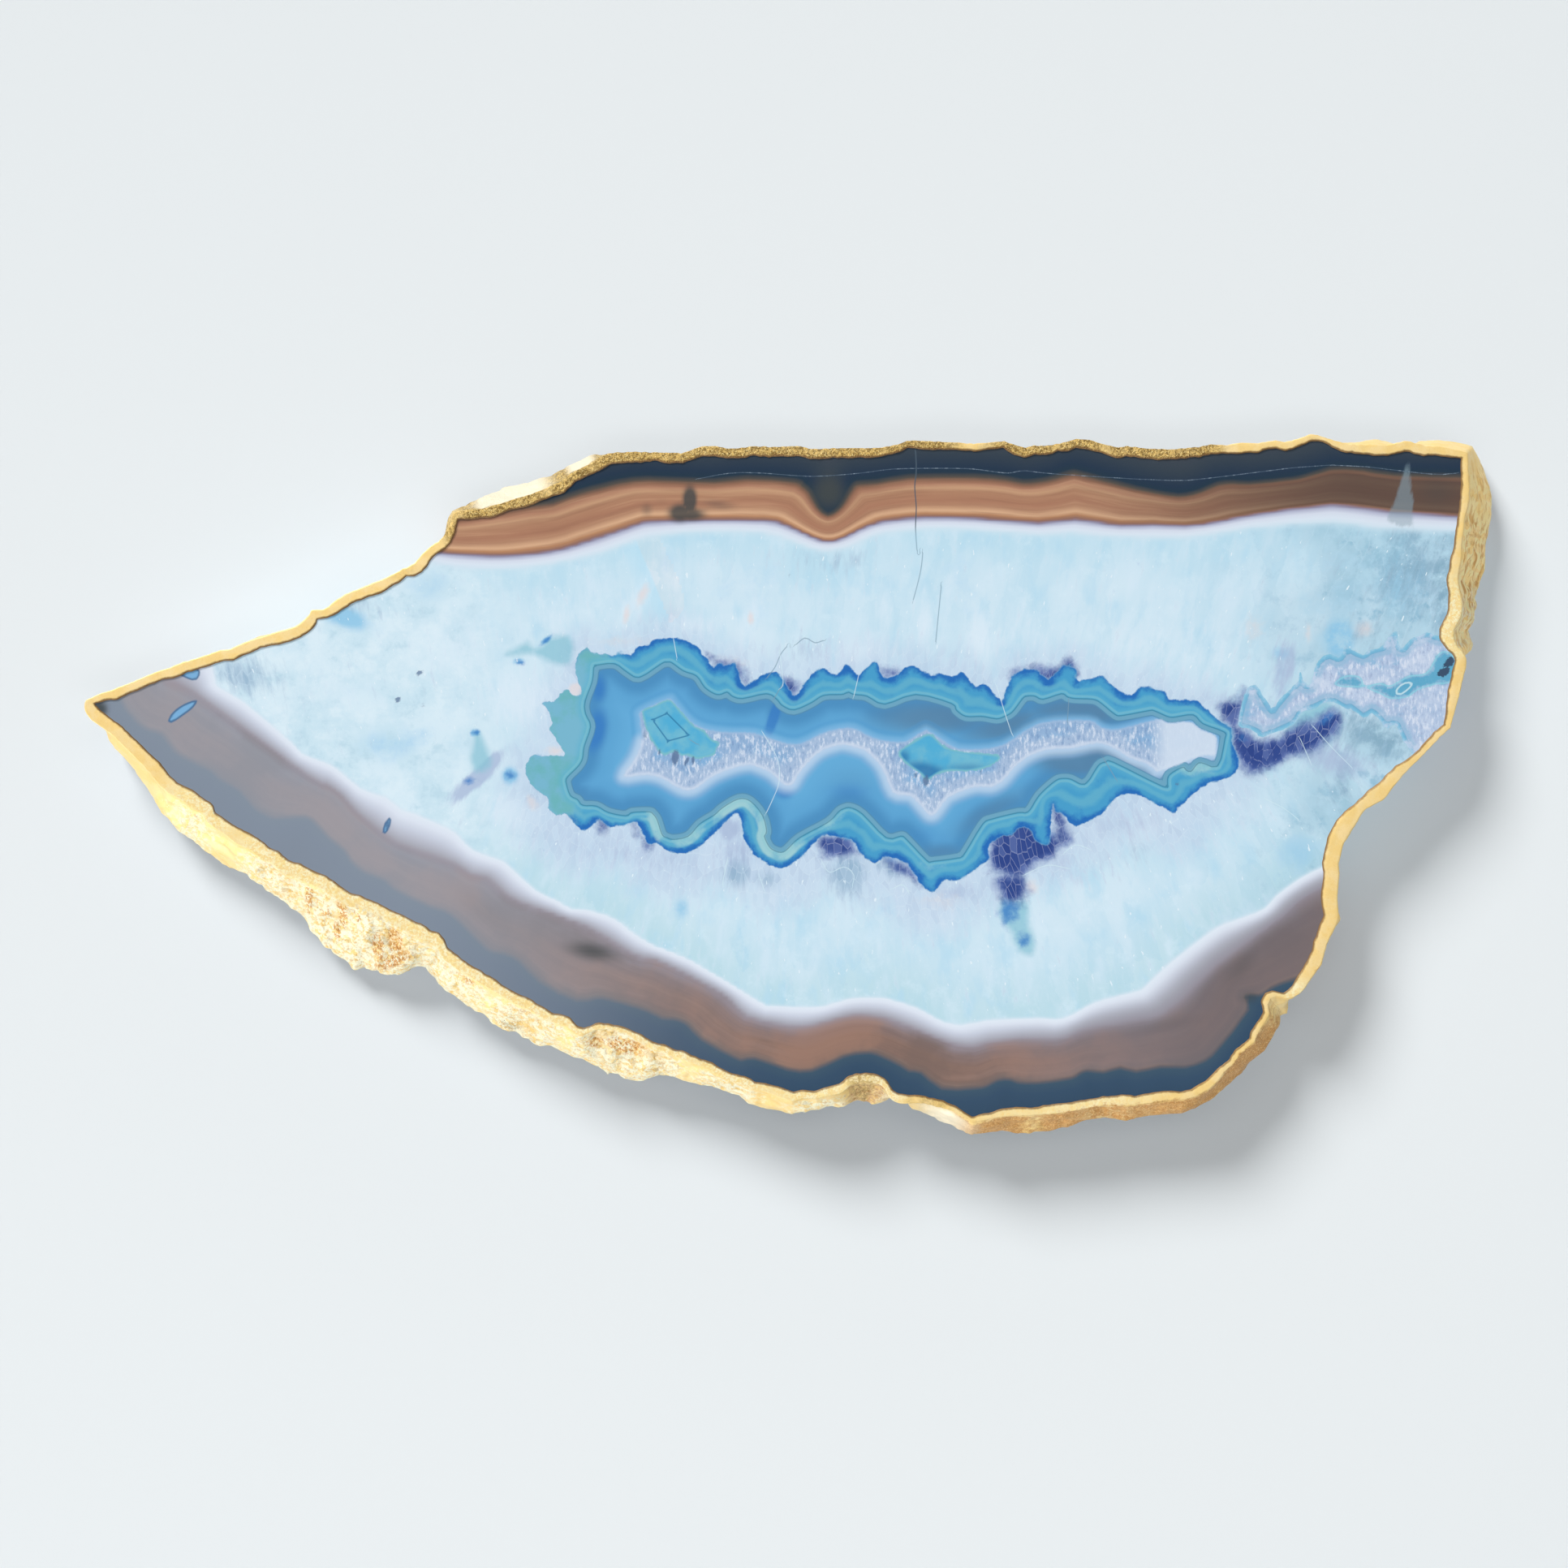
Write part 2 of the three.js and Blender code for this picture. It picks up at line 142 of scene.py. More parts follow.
# The blue core's toothed outer edge, clockwise
CORE_EDGE = [
    (712, 808), (716, 803), (722, 799), (728, 803), (740, 806), (757, 808), (761, 804), (778, 807),
    (785, 797), (800, 795), (803, 790), (825, 785), (845, 789), (852, 793), (863, 801), (877, 821),
    (880, 822), (884, 818), (890, 816), (893, 820), (903, 816), (908, 820), (913, 840), (918, 845),
    (922, 844), (938, 833), (945, 830), (952, 829), (960, 831), (977, 857), (982, 855), (990, 843),
    (1000, 832), (1010, 824), (1015, 823), (1030, 832), (1042, 819), (1048, 822), (1058, 832),
    (1068, 822), (1080, 814), (1083, 826), (1087, 832), (1092, 835), (1104, 832), (1116, 822),
    (1122, 820), (1128, 821), (1142, 830), (1150, 833), (1157, 830), (1172, 834), (1184, 828),
    (1190, 832), (1203, 846), (1213, 842), (1232, 862), (1237, 860), (1243, 840), (1248, 832),
    (1262, 825), (1280, 827), (1292, 838), (1309, 820), (1322, 822), (1326, 828), (1328, 840),
    (1355, 833), (1362, 835), (1367, 842), (1380, 852), (1395, 856), (1405, 845), (1435, 852),
    (1441, 862), (1468, 862), (1478, 865), (1503, 888), (1517, 898), (1519, 915), (1525, 932),
    (1525, 948), (1516, 957), (1497, 963), (1477, 972), (1450, 998), (1443, 1000), (1415, 985),
    (1397, 978), (1390, 978), (1380, 980), (1372, 985), (1357, 1004), (1325, 1018), (1310, 1003),
    (1300, 1000), (1297, 990), (1293, 1038), (1285, 1040), (1275, 1035), (1270, 1025), (1262, 1018),
    (1255, 1020), (1248, 1028), (1235, 1030), (1225, 1035), (1218, 1042), (1218, 1058),
    (1210, 1065), (1190, 1079), (1180, 1084), (1170, 1084), (1162, 1086), (1152, 1100),
    (1145, 1098), (1135, 1090), (1121, 1068), (1115, 1062), (1090, 1055), (1085, 1060),
    (1078, 1063), (1070, 1060), (1058, 1050), (1055, 1042), (1048, 1036), (1022, 1029),
    (1008, 1033), (990, 1052), (977, 1063), (962, 1070), (955, 1068), (932, 1056), (925, 1048),
    (916, 1030), (911, 1003), (903, 1005), (895, 1010), (868, 1039), (842, 1052), (818, 1046),
    (808, 1037), (803, 1040), (797, 1037), (788, 1018), (783, 1012), (775, 1014), (768, 1018),
    (760, 1017), (752, 1020), (738, 1009), (728, 1019), (720, 1024), (714, 1022), (698, 1003),
    (690, 1005), (682, 1002), (676, 996), (677, 990), (674, 982), (660, 972), (650, 958),
    (648, 948), (650, 940), (655, 933), (660, 930), (670, 932), (690, 931), (697, 929), (678, 900),
    (680, 893), (677, 878), (674, 871), (668, 866), (680, 865), (687, 860), (692, 854), (700, 850),
    (705, 857), (715, 857), (718, 852), (712, 838), (709, 818),
]
# The dark line inside the teal band, clockwise
CORE_LINE = [
    (757, 818), (772, 828), (788, 835), (815, 818), (822, 816), (828, 817), (842, 827), (858, 833),
    (868, 847), (880, 855), (888, 856), (896, 853), (902, 858), (915, 861), (945, 855), (958, 863),
    (963, 869), (978, 875), (1000, 866), (1015, 857), (1038, 856), (1045, 853), (1052, 856),
    (1068, 858), (1090, 868), (1128, 856), (1172, 867), (1178, 875), (1190, 883), (1210, 883),
    (1228, 886), (1238, 883), (1248, 877), (1260, 861), (1265, 858), (1275, 858), (1285, 862),
    (1308, 855), (1315, 859), (1325, 861), (1347, 862), (1357, 867), (1373, 880), (1382, 882),
    (1415, 876), (1422, 876), (1438, 883), (1447, 884), (1470, 881), (1482, 892), (1508, 902),
    (1509, 910), (1500, 944), (1478, 939), (1468, 950), (1462, 949), (1457, 945), (1440, 955),
    (1438, 965), (1433, 969), (1372, 939), (1362, 939), (1353, 943), (1337, 966), (1320, 960),
    (1310, 959), (1300, 962), (1280, 980), (1267, 1000), (1255, 1001), (1222, 1009), (1210, 1016),
    (1188, 1052), (1180, 1057), (1150, 1061), (1142, 1060), (1117, 1034), (1110, 1030),
    (1092, 1032), (1063, 1003), (1048, 995), (1040, 996), (1033, 1000), (1020, 1013), (985, 1032),
    (970, 1046), (963, 1050), (955, 1048), (948, 1043), (942, 1030), (945, 1025), (940, 1005),
    (925, 987), (910, 984), (890, 995), (880, 1004), (862, 1015), (848, 1030), (830, 1034),
    (822, 1032), (816, 1028), (810, 1010), (805, 1003), (800, 1000), (778, 1001), (772, 1005),
    (750, 1001), (735, 993), (718, 992), (712, 985), (703, 980), (698, 965), (699, 958), (712, 945),
    (718, 935), (720, 920), (728, 895), (722, 880), (721, 865), (730, 840), (732, 822), (735, 820),
]
# The edge of the fine white crystals in the middle of the core, clockwise
DRUSE_EDGE = [
    (768, 957), (782, 935), (790, 915), (788, 885), (790, 876), (823, 861), (830, 865), (850, 888),
    (870, 898), (900, 902), (930, 903), (967, 915), (988, 915), (1013, 903), (1032, 898),
    (1052, 897), (1080, 910), (1110, 914), (1118, 912), (1137, 901), (1144, 900), (1170, 917),
    (1190, 923), (1235, 918), (1280, 891), (1340, 887), (1358, 896), (1378, 898), (1425, 886),
    (1440, 891), (1466, 889), (1480, 899), (1498, 907), (1498, 925), (1496, 931), (1480, 931),
    (1430, 950), (1422, 948), (1412, 941), (1392, 934), (1372, 922), (1352, 916), (1320, 922),
    (1290, 924), (1268, 932), (1252, 944), (1238, 960), (1230, 966), (1220, 970), (1200, 970),
    (1173, 980), (1165, 986), (1153, 1002), (1147, 1005), (1141, 1001), (1126, 984), (1118, 980),
    (1100, 976), (1087, 947), (1072, 930), (1063, 924), (1042, 918), (1030, 919), (1008, 928),
    (987, 950), (977, 966), (970, 968), (963, 965), (950, 953), (930, 944), (920, 943), (905, 946),
    (880, 956), (860, 970), (850, 974), (838, 972), (817, 960), (805, 956), (792, 955),
]
LEFT_EYE = [
    (790, 876), (797, 872), (808, 868), (823, 861), (830, 865), (836, 872), (850, 888), (858, 895),
    (868, 900), (874, 907), (880, 912), (888, 915), (884, 922), (880, 930), (866, 934), (858, 935),
    (848, 931), (840, 932), (830, 926), (820, 931), (812, 926), (806, 919), (800, 908), (795, 896),
    (792, 885),
]
LEFT_EYE_LINE = [
    (804, 887), (804, 887), (822, 879), (822, 879), (849, 906), (849, 906), (823, 913), (823, 913),
]
RIGHT_EYE = [
    (1107, 925), (1112, 921), (1120, 916), (1130, 910), (1144, 903), (1155, 910), (1165, 920),
    (1185, 925), (1215, 928), (1230, 930), (1233, 934), (1228, 940), (1218, 945), (1205, 949),
    (1190, 951), (1175, 950), (1160, 952), (1150, 958), (1141, 962), (1135, 955), (1125, 948),
    (1115, 940), (1108, 932),
]
# The smaller druse at the square end, which runs out to the gold
SIDE_DRUSE = [
    (1525, 893), (1530, 868), (1537, 848), (1543, 845), (1549, 846), (1566, 873), (1570, 871),
    (1588, 850), (1600, 840), (1602, 828), (1608, 842), (1612, 844), (1616, 840), (1622, 817),
    (1637, 806), (1648, 811), (1654, 806), (1660, 793), (1665, 800), (1680, 807), (1688, 801),
    (1704, 797), (1707, 790), (1720, 777), (1723, 795), (1729, 799), (1738, 788), (1757, 780),
    (1765, 780), (1773, 785), (1840, 790), (1840, 980), (1752, 945), (1720, 893), (1711, 899),
    (1705, 895), (1700, 887), (1690, 878), (1684, 884), (1680, 885), (1663, 872), (1658, 874),
    (1645, 866), (1635, 865), (1620, 872), (1607, 876), (1602, 880), (1593, 893), (1555, 908),
    (1549, 903), (1536, 897),
]
SIDE_TEAL = [
    (1645, 842), (1652, 836), (1660, 833), (1670, 833), (1677, 836), (1680, 845), (1688, 845),
    (1700, 842), (1712, 846), (1720, 842), (1728, 838), (1737, 833), (1750, 832), (1760, 828),
    (1770, 810), (1777, 803), (1786, 805), (1792, 812), (1800, 830), (1785, 841), (1770, 842),
    (1760, 845), (1745, 850), (1735, 858), (1722, 860), (1712, 860), (1700, 854), (1690, 850),
    (1680, 846), (1655, 846),
]
SIDE_LOOP = [
    (1720, 852), (1725, 845), (1733, 841), (1740, 842), (1737, 847), (1730, 853), (1723, 856),
]
SIDE_PITS = [
    [(1778, 820), (1783, 812), (1790, 808), (1793, 815), (1790, 819), (1785, 822)],
    [(1770, 831), (1775, 824), (1783, 822), (1786, 826), (1783, 832), (1775, 835)],
]
# Dark purple-blue dye that soaked in between the crystals round the core
STAINS = [
    [(1216, 1026), (1230, 1018), (1256, 1004), (1264, 1004), (1272, 1012), (1280, 1024),
     (1310, 1034), (1305, 1048), (1298, 1060), (1280, 1068), (1262, 1083), (1240, 1080),
     (1220, 1075), (1218, 1060)],
    [(1228, 1078), (1262, 1080), (1266, 1100), (1258, 1114), (1238, 1112), (1230, 1098)],
    [(1297, 990), (1310, 1003), (1323, 1035), (1300, 1035)],
    [(1086, 1052), (1100, 1056), (1121, 1066), (1135, 1088), (1118, 1082), (1095, 1070)],
    [(1003, 1036), (1020, 1028), (1048, 1034), (1060, 1052), (1036, 1060), (1014, 1056)],
    [(733, 1010), (746, 1012), (748, 1022), (737, 1024)],
    [(783, 1012), (792, 1026), (803, 1040), (796, 1046), (782, 1032)],
    [(870, 806), (890, 812), (915, 824), (925, 840), (917, 848), (905, 834), (885, 824)],
    [(967, 838), (985, 846), (978, 862), (970, 854)],
    [(1500, 870), (1523, 862), (1530, 850), (1536, 856), (1532, 875), (1526, 892), (1540, 900),
     (1562, 912), (1588, 900), (1625, 880), (1650, 874), (1656, 890), (1640, 915), (1612, 930),
     (1590, 935), (1555, 955), (1530, 948), (1519, 925), (1512, 895)],
    [(1083, 826), (1096, 822), (1112, 826), (1100, 836), (1088, 836)],
    [(1246, 834), (1262, 822), (1300, 822), (1318, 815), (1326, 830), (1296, 842), (1262, 832)],
]
# Pale sea-green and teal patches outside the core
SEA_PATCHES = [
    [(622, 808), (630, 802), (650, 790), (658, 797), (668, 795), (675, 786), (690, 783),
     (700, 784), (708, 796), (708, 806), (700, 818), (685, 819), (672, 814), (656, 806)],
    [(584, 905), (590, 902), (598, 918), (606, 935), (600, 950), (586, 952), (580, 935)],
    [(1234, 1108), (1252, 1106), (1266, 1112), (1266, 1132), (1274, 1160), (1272, 1176),
     (1256, 1172), (1244, 1146), (1234, 1130)],
    [(1583, 897), (1593, 891), (1600, 881), (1612, 873), (1632, 866), (1640, 871), (1630, 882),
     (1613, 890), (1600, 897), (1588, 901)],
]
# A quartz shaft across the upper bands, and small blue lenses in the lower ones
SHAFT = [(1735, 562), (1739, 600), (1740, 648), (1709, 642), (1716, 622), (1726, 592)]
LENSES = [
    [(207, 890), (211, 880), (224, 869), (243, 862), (238, 872), (225, 882), (213, 890)],
    [(471, 1028), (474, 1014), (480, 1007), (482, 1012), (478, 1024)],
    [(218, 829), (232, 825), (245, 824), (246, 832), (240, 839), (226, 834)],
]
# Cracks and veins: dark ones first, then pale ones
DARK_VEINS = [
    [(1128, 554), (1129, 580), (1127, 600), (1129, 625), (1128, 650), (1130, 680)],
    [(980, 795), (992, 786), (1004, 792), (1015, 789)],
    [(945, 835), (955, 822), (962, 806), (970, 796)],
    [(1137, 680), (1135, 700), (1130, 722), (1125, 740)],
    [(1160, 720), (1157, 750), (1153, 790)],
    [(965, 842), (960, 850), (953, 862)],
    [(1317, 862), (1315, 890)],
    [(1360, 935), (1375, 960)],
    [(851, 912), (859, 917)],
]
PALE_VEINS = [
    [(960, 800), (965, 840), (962, 848)],
    [(940, 903), (958, 935), (960, 963), (952, 985), (944, 1002)],
    [(830, 788), (834, 810)],
    [(1058, 832), (1052, 858)],
    [(1228, 845), (1238, 878), (1247, 905)],
    [(1602, 910), (1615, 940)],
    [(1618, 895), (1640, 920), (1665, 945)],
    [(1560, 985), (1582, 996), (1600, 1010)],
    [(1012, 1060), (1022, 1075), (1040, 1068), (1052, 1078), (1050, 1092)],
    [(936, 1080), (942, 1098)],
    [(896, 1060), (890, 1090)],
    [(1100, 1095), (1112, 1090), (1120, 1100)],
    [(1262, 1078), (1290, 1066), (1316, 1070)],
    [(1310, 1052), (1325, 1041), (1342, 1046)],
]
# An old healed crack: the crystals are whiter on its left side and bluer on its right
FAULT = [(781, 630), (783, 648), (785, 665), (790, 680), (797, 695), (806, 716), (815, 740)]
# Soft patches: middle x, middle y, half length, half width, turn in degrees, strength
AZURE_PATCHES = [
    (530, 722, 26, 40, 70, 0.55), (425, 760, 34, 14, 20, 1.3), (480, 918, 62, 26, -10, 0.6),
    (585, 903, 6, 5, 0, 1.6), (925, 720, 55, 40, 0, 0.35), (1185, 720, 40, 60, 0, 0.3),
    (1650, 787, 18, 24, 0, 1.7), (1579, 806, 16, 10, 0, 0.9), (1660, 740, 60, 40, 0, 0.45),
    (1730, 720, 60, 60, 0, 0.6),
    (1600, 1050, 34, 30, 0, 0.7), (780, 1080, 60, 40, 20, 0.25), (1090, 1120, 60, 30, 0, 0.3),
    (629, 955, 10, 10, 0, 1.5), (840, 1120, 12, 14, 0, 0.8),
    (450, 850, 60, 20, 0, 0.25), (820, 700, 40, 30, 0, 0.3), (1680, 690, 110, 26, 0, 0.35),
    (1580, 860, 30, 20, 0, 0.4), (640, 815, 8, 4, 0, 1.2), (673, 789, 8, 4, -30, 1.6),
]
PALE_PATCHES = [
    (640, 860, 50, 40, 0, 0.9), (620, 1000, 60, 30, 20, 0.7), (560, 800, 60, 60, 0, 0.5),
    (790, 735, 14, 34, 20, 0.8), (770, 755, 10, 26, 20, 0.8), (925, 765, 16, 34, 20, 0.8),
    (1090, 750, 12, 40, 5, 0.7), (1140, 765, 14, 40, 0, 0.8), (1210, 785, 16, 40, -8, 1.0),
    (1260, 780, 60, 40, 0, 0.5), (1400, 800, 80, 50, 0, 0.5), (1480, 800, 60, 60, 0, 0.5),
    (1060, 800, 60, 20, 0, 0.6), (860, 770, 50, 18, 0, 0.6), (700, 760, 60, 24, 0, 0.5),
    (1420, 1010, 90, 30, -30, 0.5), (1160, 1130, 60, 30, 0, 0.4), (940, 1100, 60, 24, 0, 0.4),
    (1330, 1110, 60, 40, 0, 0.4), (1530, 990, 60, 40, -20, 0.4), (400, 850, 60, 30, 10, 0.4),
]
GREY_PATCHES = [
    (300, 832, 50, 24, 10, 1.0), (1022, 690, 60, 20, 0, 0.55), (990, 800, 30, 20, 0, 0.35),
    (660, 975, 24, 14, -10, 0.6), (908, 1074, 16, 20, 0, 1.5),
    (1045, 1078, 22, 26, 0, 1.7), (1100, 1068, 30, 14, 20, 1.0), (945, 1085, 20, 14, 0, 0.9),
    (1400, 1050, 24, 18, 0, 0.5),
    (1690, 908, 44, 26, 20, 1.5), (1655, 962, 12, 26, 10, 1.1), (1780, 720, 20, 60, 0, 1.3), (1660, 985, 40, 30, 0, 0.35),
    (1745, 700, 60, 70, 0, 0.8), (520, 850, 16, 12, 0, 0.3),
    (440, 742, 30, 14, 20, 0.8), (1692, 782, 28, 18, 0, 0.8), (1790, 745, 14, 50, 0, 1.3),
]
LILAC_PATCHES = [
    (586, 960, 36, 9, -42, 2.2), (604, 942, 20, 7, -50, 2.4), (800, 1055, 90, 22, 12, 0.6),
    (910, 1050, 30, 24, 0, 0.9), (1010, 800, 60, 22, 0, 0.4), (1320, 1060, 60, 30, 10, 0.5),
    (1240, 1090, 26, 16, 0, 1.2), (1400, 1010, 80, 24, -20, 0.6), (1560, 930, 60, 24, -20, 0.8),
    (720, 1040, 60, 20, 20, 0.5), (1180, 1100, 40, 14, 0, 0.7), (900, 820, 30, 12, 20, 0.8),
    (899, 1022, 13, 15, 0, 1.6), (1582, 826, 16, 34, 12, 1.2), (1640, 935, 60, 24, 20, 1.0),
    (975, 845, 16, 12, 0, 0.8), (1500, 860, 30, 14, 20, 0.6), (1160, 822, 60, 10, 0, 0.4),
]
DARK_PATCHES = [
    (850, 616, 9, 18, 0, 1.6), (838, 632, 16, 12, 0, 1.4), (852, 634, 20, 9, 0, 1.2),
    (885, 622, 30, 9, 8, 0.6), (797, 628, 10, 12, 0, 0.6), (815, 618, 16, 8, 0, 0.35),
    (1021, 606, 24, 24, 0, 1.1), (730, 1172, 40, 14, 10, 0.9), (600, 1125, 70, 24, 35, 0.35),
    (1530, 1190, 40, 16, -45, 0.5), (1440, 1262, 70, 14, -10, 0.4), (1770, 605, 36, 30, 0, 0.5),
    (122, 874, 12, 12, 0, 1.2), (1540, 1229, 14, 9, 0, 0.7),
]
# The blue of the core, deeper in some places and lighter in others
DEEP_PATCHES = [
    (738, 848, 10, 18, 0, 1.0), (735, 900, 12, 26, 10, 1.3), (953, 884, 6, 26, 18, 1.7),
    (967, 975, 13, 10, 0, 1.0), (1045, 975, 30, 14, 0, 0.5), (1140, 1030, 40, 16, 0, 0.3),
    (905, 1040, 20, 12, 0, 0.4), (960, 940, 20, 10, 0, 0.3), (1140, 952, 34, 13, 12, 1.2),
    (1113, 934, 10, 12, 0, 0.9), (1190, 947, 40, 8, 0, 0.6), (954, 884, 3, 22, 18, 2.2),
]
GREYED_PATCHES = [
    (1150, 885, 80, 22, 0, 1.0), (1250, 895, 70, 20, -10, 1.0), (1330, 878, 60, 18, 0, 1.2),
    (1335, 936, 60, 18, 0, 1.4), (1390, 935, 40, 16, 20, 1.0), (700, 985, 40, 20, 0, 0.4),
    (1220, 1000, 60, 16, -30, 0.6), (1050, 960, 50, 30, 0, 0.3), (1160, 1050, 40, 12, 0, 0.6),
]
# Where the core's outer band has no blue rim, and where a creamy strip runs along its inner side
BARE_PATCHES = [
    (686, 920, 46, 84, 0, 1.5), (728, 832, 26, 34, 0, 1.3), (680, 985, 30, 26, 30, 1.2),
]
CREAM_PATCHES = [
    (812, 1012, 22, 26, 0, 1.2), (850, 1030, 30, 22, 0, 0.9), (905, 995, 36, 24, 0, 1.1),
    (945, 1030, 20, 44, 0, 1.2), (975, 1050, 30, 16, -30, 1.0), (1020, 1008, 36, 22, -30, 0.6),
    (1475, 945, 30, 14, 0, 0.9), (1395, 962, 60, 18, 20, 0.3), (1150, 1068, 40, 12, 0, 0.5),
]
# Rosy crystals, deep blue spots outside the core, and dark holes in the druse
ROSY_PATCHES = [
    (772, 757, 5, 13, 12, 1.0), (792, 733, 8, 17, 25, 0.9), (925, 762, 5, 10, 0, 1.0),
    (710, 850, 10, 9, 0, 1.4), (684, 925, 14, 8, 0, 0.9), (656, 990, 8, 14, -30, 0.8),
    (1270, 1092, 12, 12, 0, 0.8), (1545, 775, 16, 22, 0, 0.6), (1612, 780, 6, 14, 0, 0.7),
    (900, 815, 40, 10, 10, 0.5), (1680, 775, 16, 14, 0, 0.7),
    (770, 790, 60, 10, 0, 0.5), (1160, 1110, 40, 16, 0, 0.5),
]
BLUE_SPOTS = [
    (1243, 1124, 15, 17, 0, 1.1), (1262, 1158, 9, 11, 0, 1.1), (629, 955, 9, 7, -30, 1.0),
    (587, 903, 5, 4, 0, 1.4), (640, 815, 8, 3, 30, 1.1), (673, 789, 9, 3, -40, 1.3),
    (1636, 886, 14, 8, -30, 0.8), (578, 962, 8, 8, 0, 0.9),
    (1755, 890, 4, 4, 0, 0.8), (1530, 908, 8, 10, 0, 0.6),
    (1100, 1056, 14, 8, 20, 0.8), (1290, 1030, 16, 10, 0, 0.7),
]
HOLES = [
    (832, 933, 4, 9, 5, 1.6), (846, 938, 2, 7, 20, 1.2), (854, 937, 2, 6, 0, 1.2),
    (862, 938, 2, 5, 0, 1.0), (812, 927, 2, 5, 0, 1.0), (1141, 962, 4, 7, 0, 1.2),
    (795, 905, 3, 8, 0, 0.8), (1128, 955, 3, 4, 0, 0.9), (1208, 952, 2, 4, 0, 0.8),
    (517, 829, 5, 3, -30, 1.2), (490, 862, 4, 3, -20, 1.4), (520, 869, 4, 2, 0, 1.0),
    (1450, 966, 3, 3, 0, 0.8), (1559, 711, 4, 3, 0, 0.8), (973, 710, 3, 3, 0, 1.0),
]

# Where the gilding is rough: lumps of rind, dark grit and long ridges; then where shade and highlights are painted on
# its wall
LUMP_PLACES = [
    (240, 1010, 60, 40, 40, 0.5), (340, 1080, 60, 40, 40, 0.8), (440, 1150, 80, 60, 30, 1.5),
    (560, 1200, 60, 40, 30, 0.9), (650, 1255, 60, 36, 20, 0.9), (770, 1295, 70, 40, 10, 1.3),
    (900, 1335, 60, 26, 10, 0.7), (1000, 1350, 50, 24, 0, 0.7), (1080, 1350, 40, 24, 0, 0.6),
    (1300, 1372, 150, 16, -4, 0.4), (1810, 760, 16, 60, 0, 0.5), (1600, 1225, 30, 26, 0, 0.4),
]
GRIT_PLACES = [
    (620, 616, 70, 22, -12, 1.0), (700, 590, 40, 26, -40, 1.0), (790, 562, 80, 16, 0, 1.1),
    (900, 558, 90, 14, 0, 1.1), (1020, 558, 90, 14, 0, 1.0), (1130, 550, 60, 14, 0, 0.9),
    (1260, 555, 60, 14, 0, 0.9), (1330, 550, 40, 14, 0, 0.8), (1420, 558, 70, 14, 0, 1.0),
    (1480, 556, 40, 12, 0, 0.7), (1060, 1332, 60, 16, 0, 0.9), (950, 1335, 60, 12, 14, 0.8),
    (1150, 1360, 60, 12, 20, 0.7), (556, 650, 14, 30, 20, 0.6), (500, 706, 50, 16, -25, 0.35),
]
RIDGE_PLACES = [
    (1815, 700, 26, 110, 0, 1.2), (1822, 610, 20, 60, 0, 0.7), (260, 1000, 60, 30, 40, 0.5),
    (1330, 1365, 160, 14, -5, 0.7), (1570, 1250, 40, 60, -40, 0.5),
]
# Painted shade: a darker amber gold on the lower and right walls, which the lamps light less
AMBER_SHADE_PLACES = [
    (1230, 1375, 70, 18, -6, 1.1), (1340, 1368, 90, 16, -4, 1.2), (1450, 1358, 70, 16, -10, 1.1),
    (1535, 1300, 60, 22, -45, 1.1), (1620, 1190, 60, 14, -60, 0.6), (1070, 1350, 40, 14, 0, 0.5),
    (1815, 640, 14, 60, 0, 0.5),
]
# Streaks of small pits in the thickest lump, and specks beside them
PIT_PLACES = [
    (381, 1100, 22, 4, 90, 1.5), (422, 1124, 17, 5, 80, 1.5), (415, 1148, 12, 4, 80, 1.3),
    (440, 1127, 12, 3, 70, 1.3), (466, 1166, 16, 7, 80, 1.3), (488, 1162, 20, 8, 80, 1.5),
    (484, 1184, 28, 10, -20, 0.9), (402, 1125, 5, 5, 0, 1.0), (365, 1082, 8, 3, 0, 0.8),
    (580, 1208, 12, 6, 0, 0.8), (770, 1288, 30, 12, 10, 0.9), (735, 1284, 16, 8, 0, 0.8),
    (1182, 1368, 8, 4, 0, 0.8), (640, 1240, 20, 8, 30, 0.6),
]
# Painted highlight: pale, near-white gold where the upper left wall faces the key light
PAINTED_HIGHLIGHT_PLACES = [
    (615, 606, 60, 14, -10, 1.4), (716, 567, 22, 9, -30, 1.4), (1165, 1372, 50, 12, 25, 0.8),
    (1800, 560, 30, 14, 0, 0.5),
]


def linear(hexa):
    """An sRGB hex colour as linear red, green and blue: each channel's sRGB curve is undone."""
    channels = np.array([int(hexa[k:k + 2], 16) / 255 for k in (1, 3, 5)])
    low = channels / 12.92
    high = ((channels + 0.055) / 1.055) ** 2.4
    return tuple(np.where(channels <= 0.04045, low, high))


def on_face(points):
    """Picture points as millimetres on the polished face: (x - middle) and (middle - y), times the
    face's unit, moved to the view point."""
    points = np.asarray(points, float)
    x = (points[:, 0] - PICTURE_MIDDLE) * FACE_UNIT + VIEW_POINT[0]
    y = (PICTURE_MIDDLE - points[:, 1]) * FACE_UNIT + VIEW_POINT[1]
    return np.stack([x, y], 1)


def rounded(points, closed=True, steps=3):
    """A Catmull-Rom curve through an outline: each span is a cubic of its four nearest corners."""
    corners = on_face(points)
    if closed:
        a, b, c, d = (np.roll(corners, shift, 0) for shift in (1, 0, -1, -2))
    else:
        ends = [2 * corners[:1] - corners[1:2], corners, 2 * corners[-1:] - corners[-2:-1]]
        padded = np.vstack(ends)
        a, b, c, d = padded[:-3], padded[1:-2], padded[2:-1], padded[3:]
    a, b, c, d = (part[:, None, :] for part in (a, b, c, d))
    t = (np.arange(steps) / steps)[None, :, None]
    curve = 2 * b + (c - a) * t + (2 * a - 5 * b + 4 * c - d) * t**2 + (3 * b - a - 3 * c + d) * t**3
    curve = (0.5 * curve).reshape(-1, 2)
    if not closed:
        curve = np.vstack([curve, corners[-1:]])
    return curve


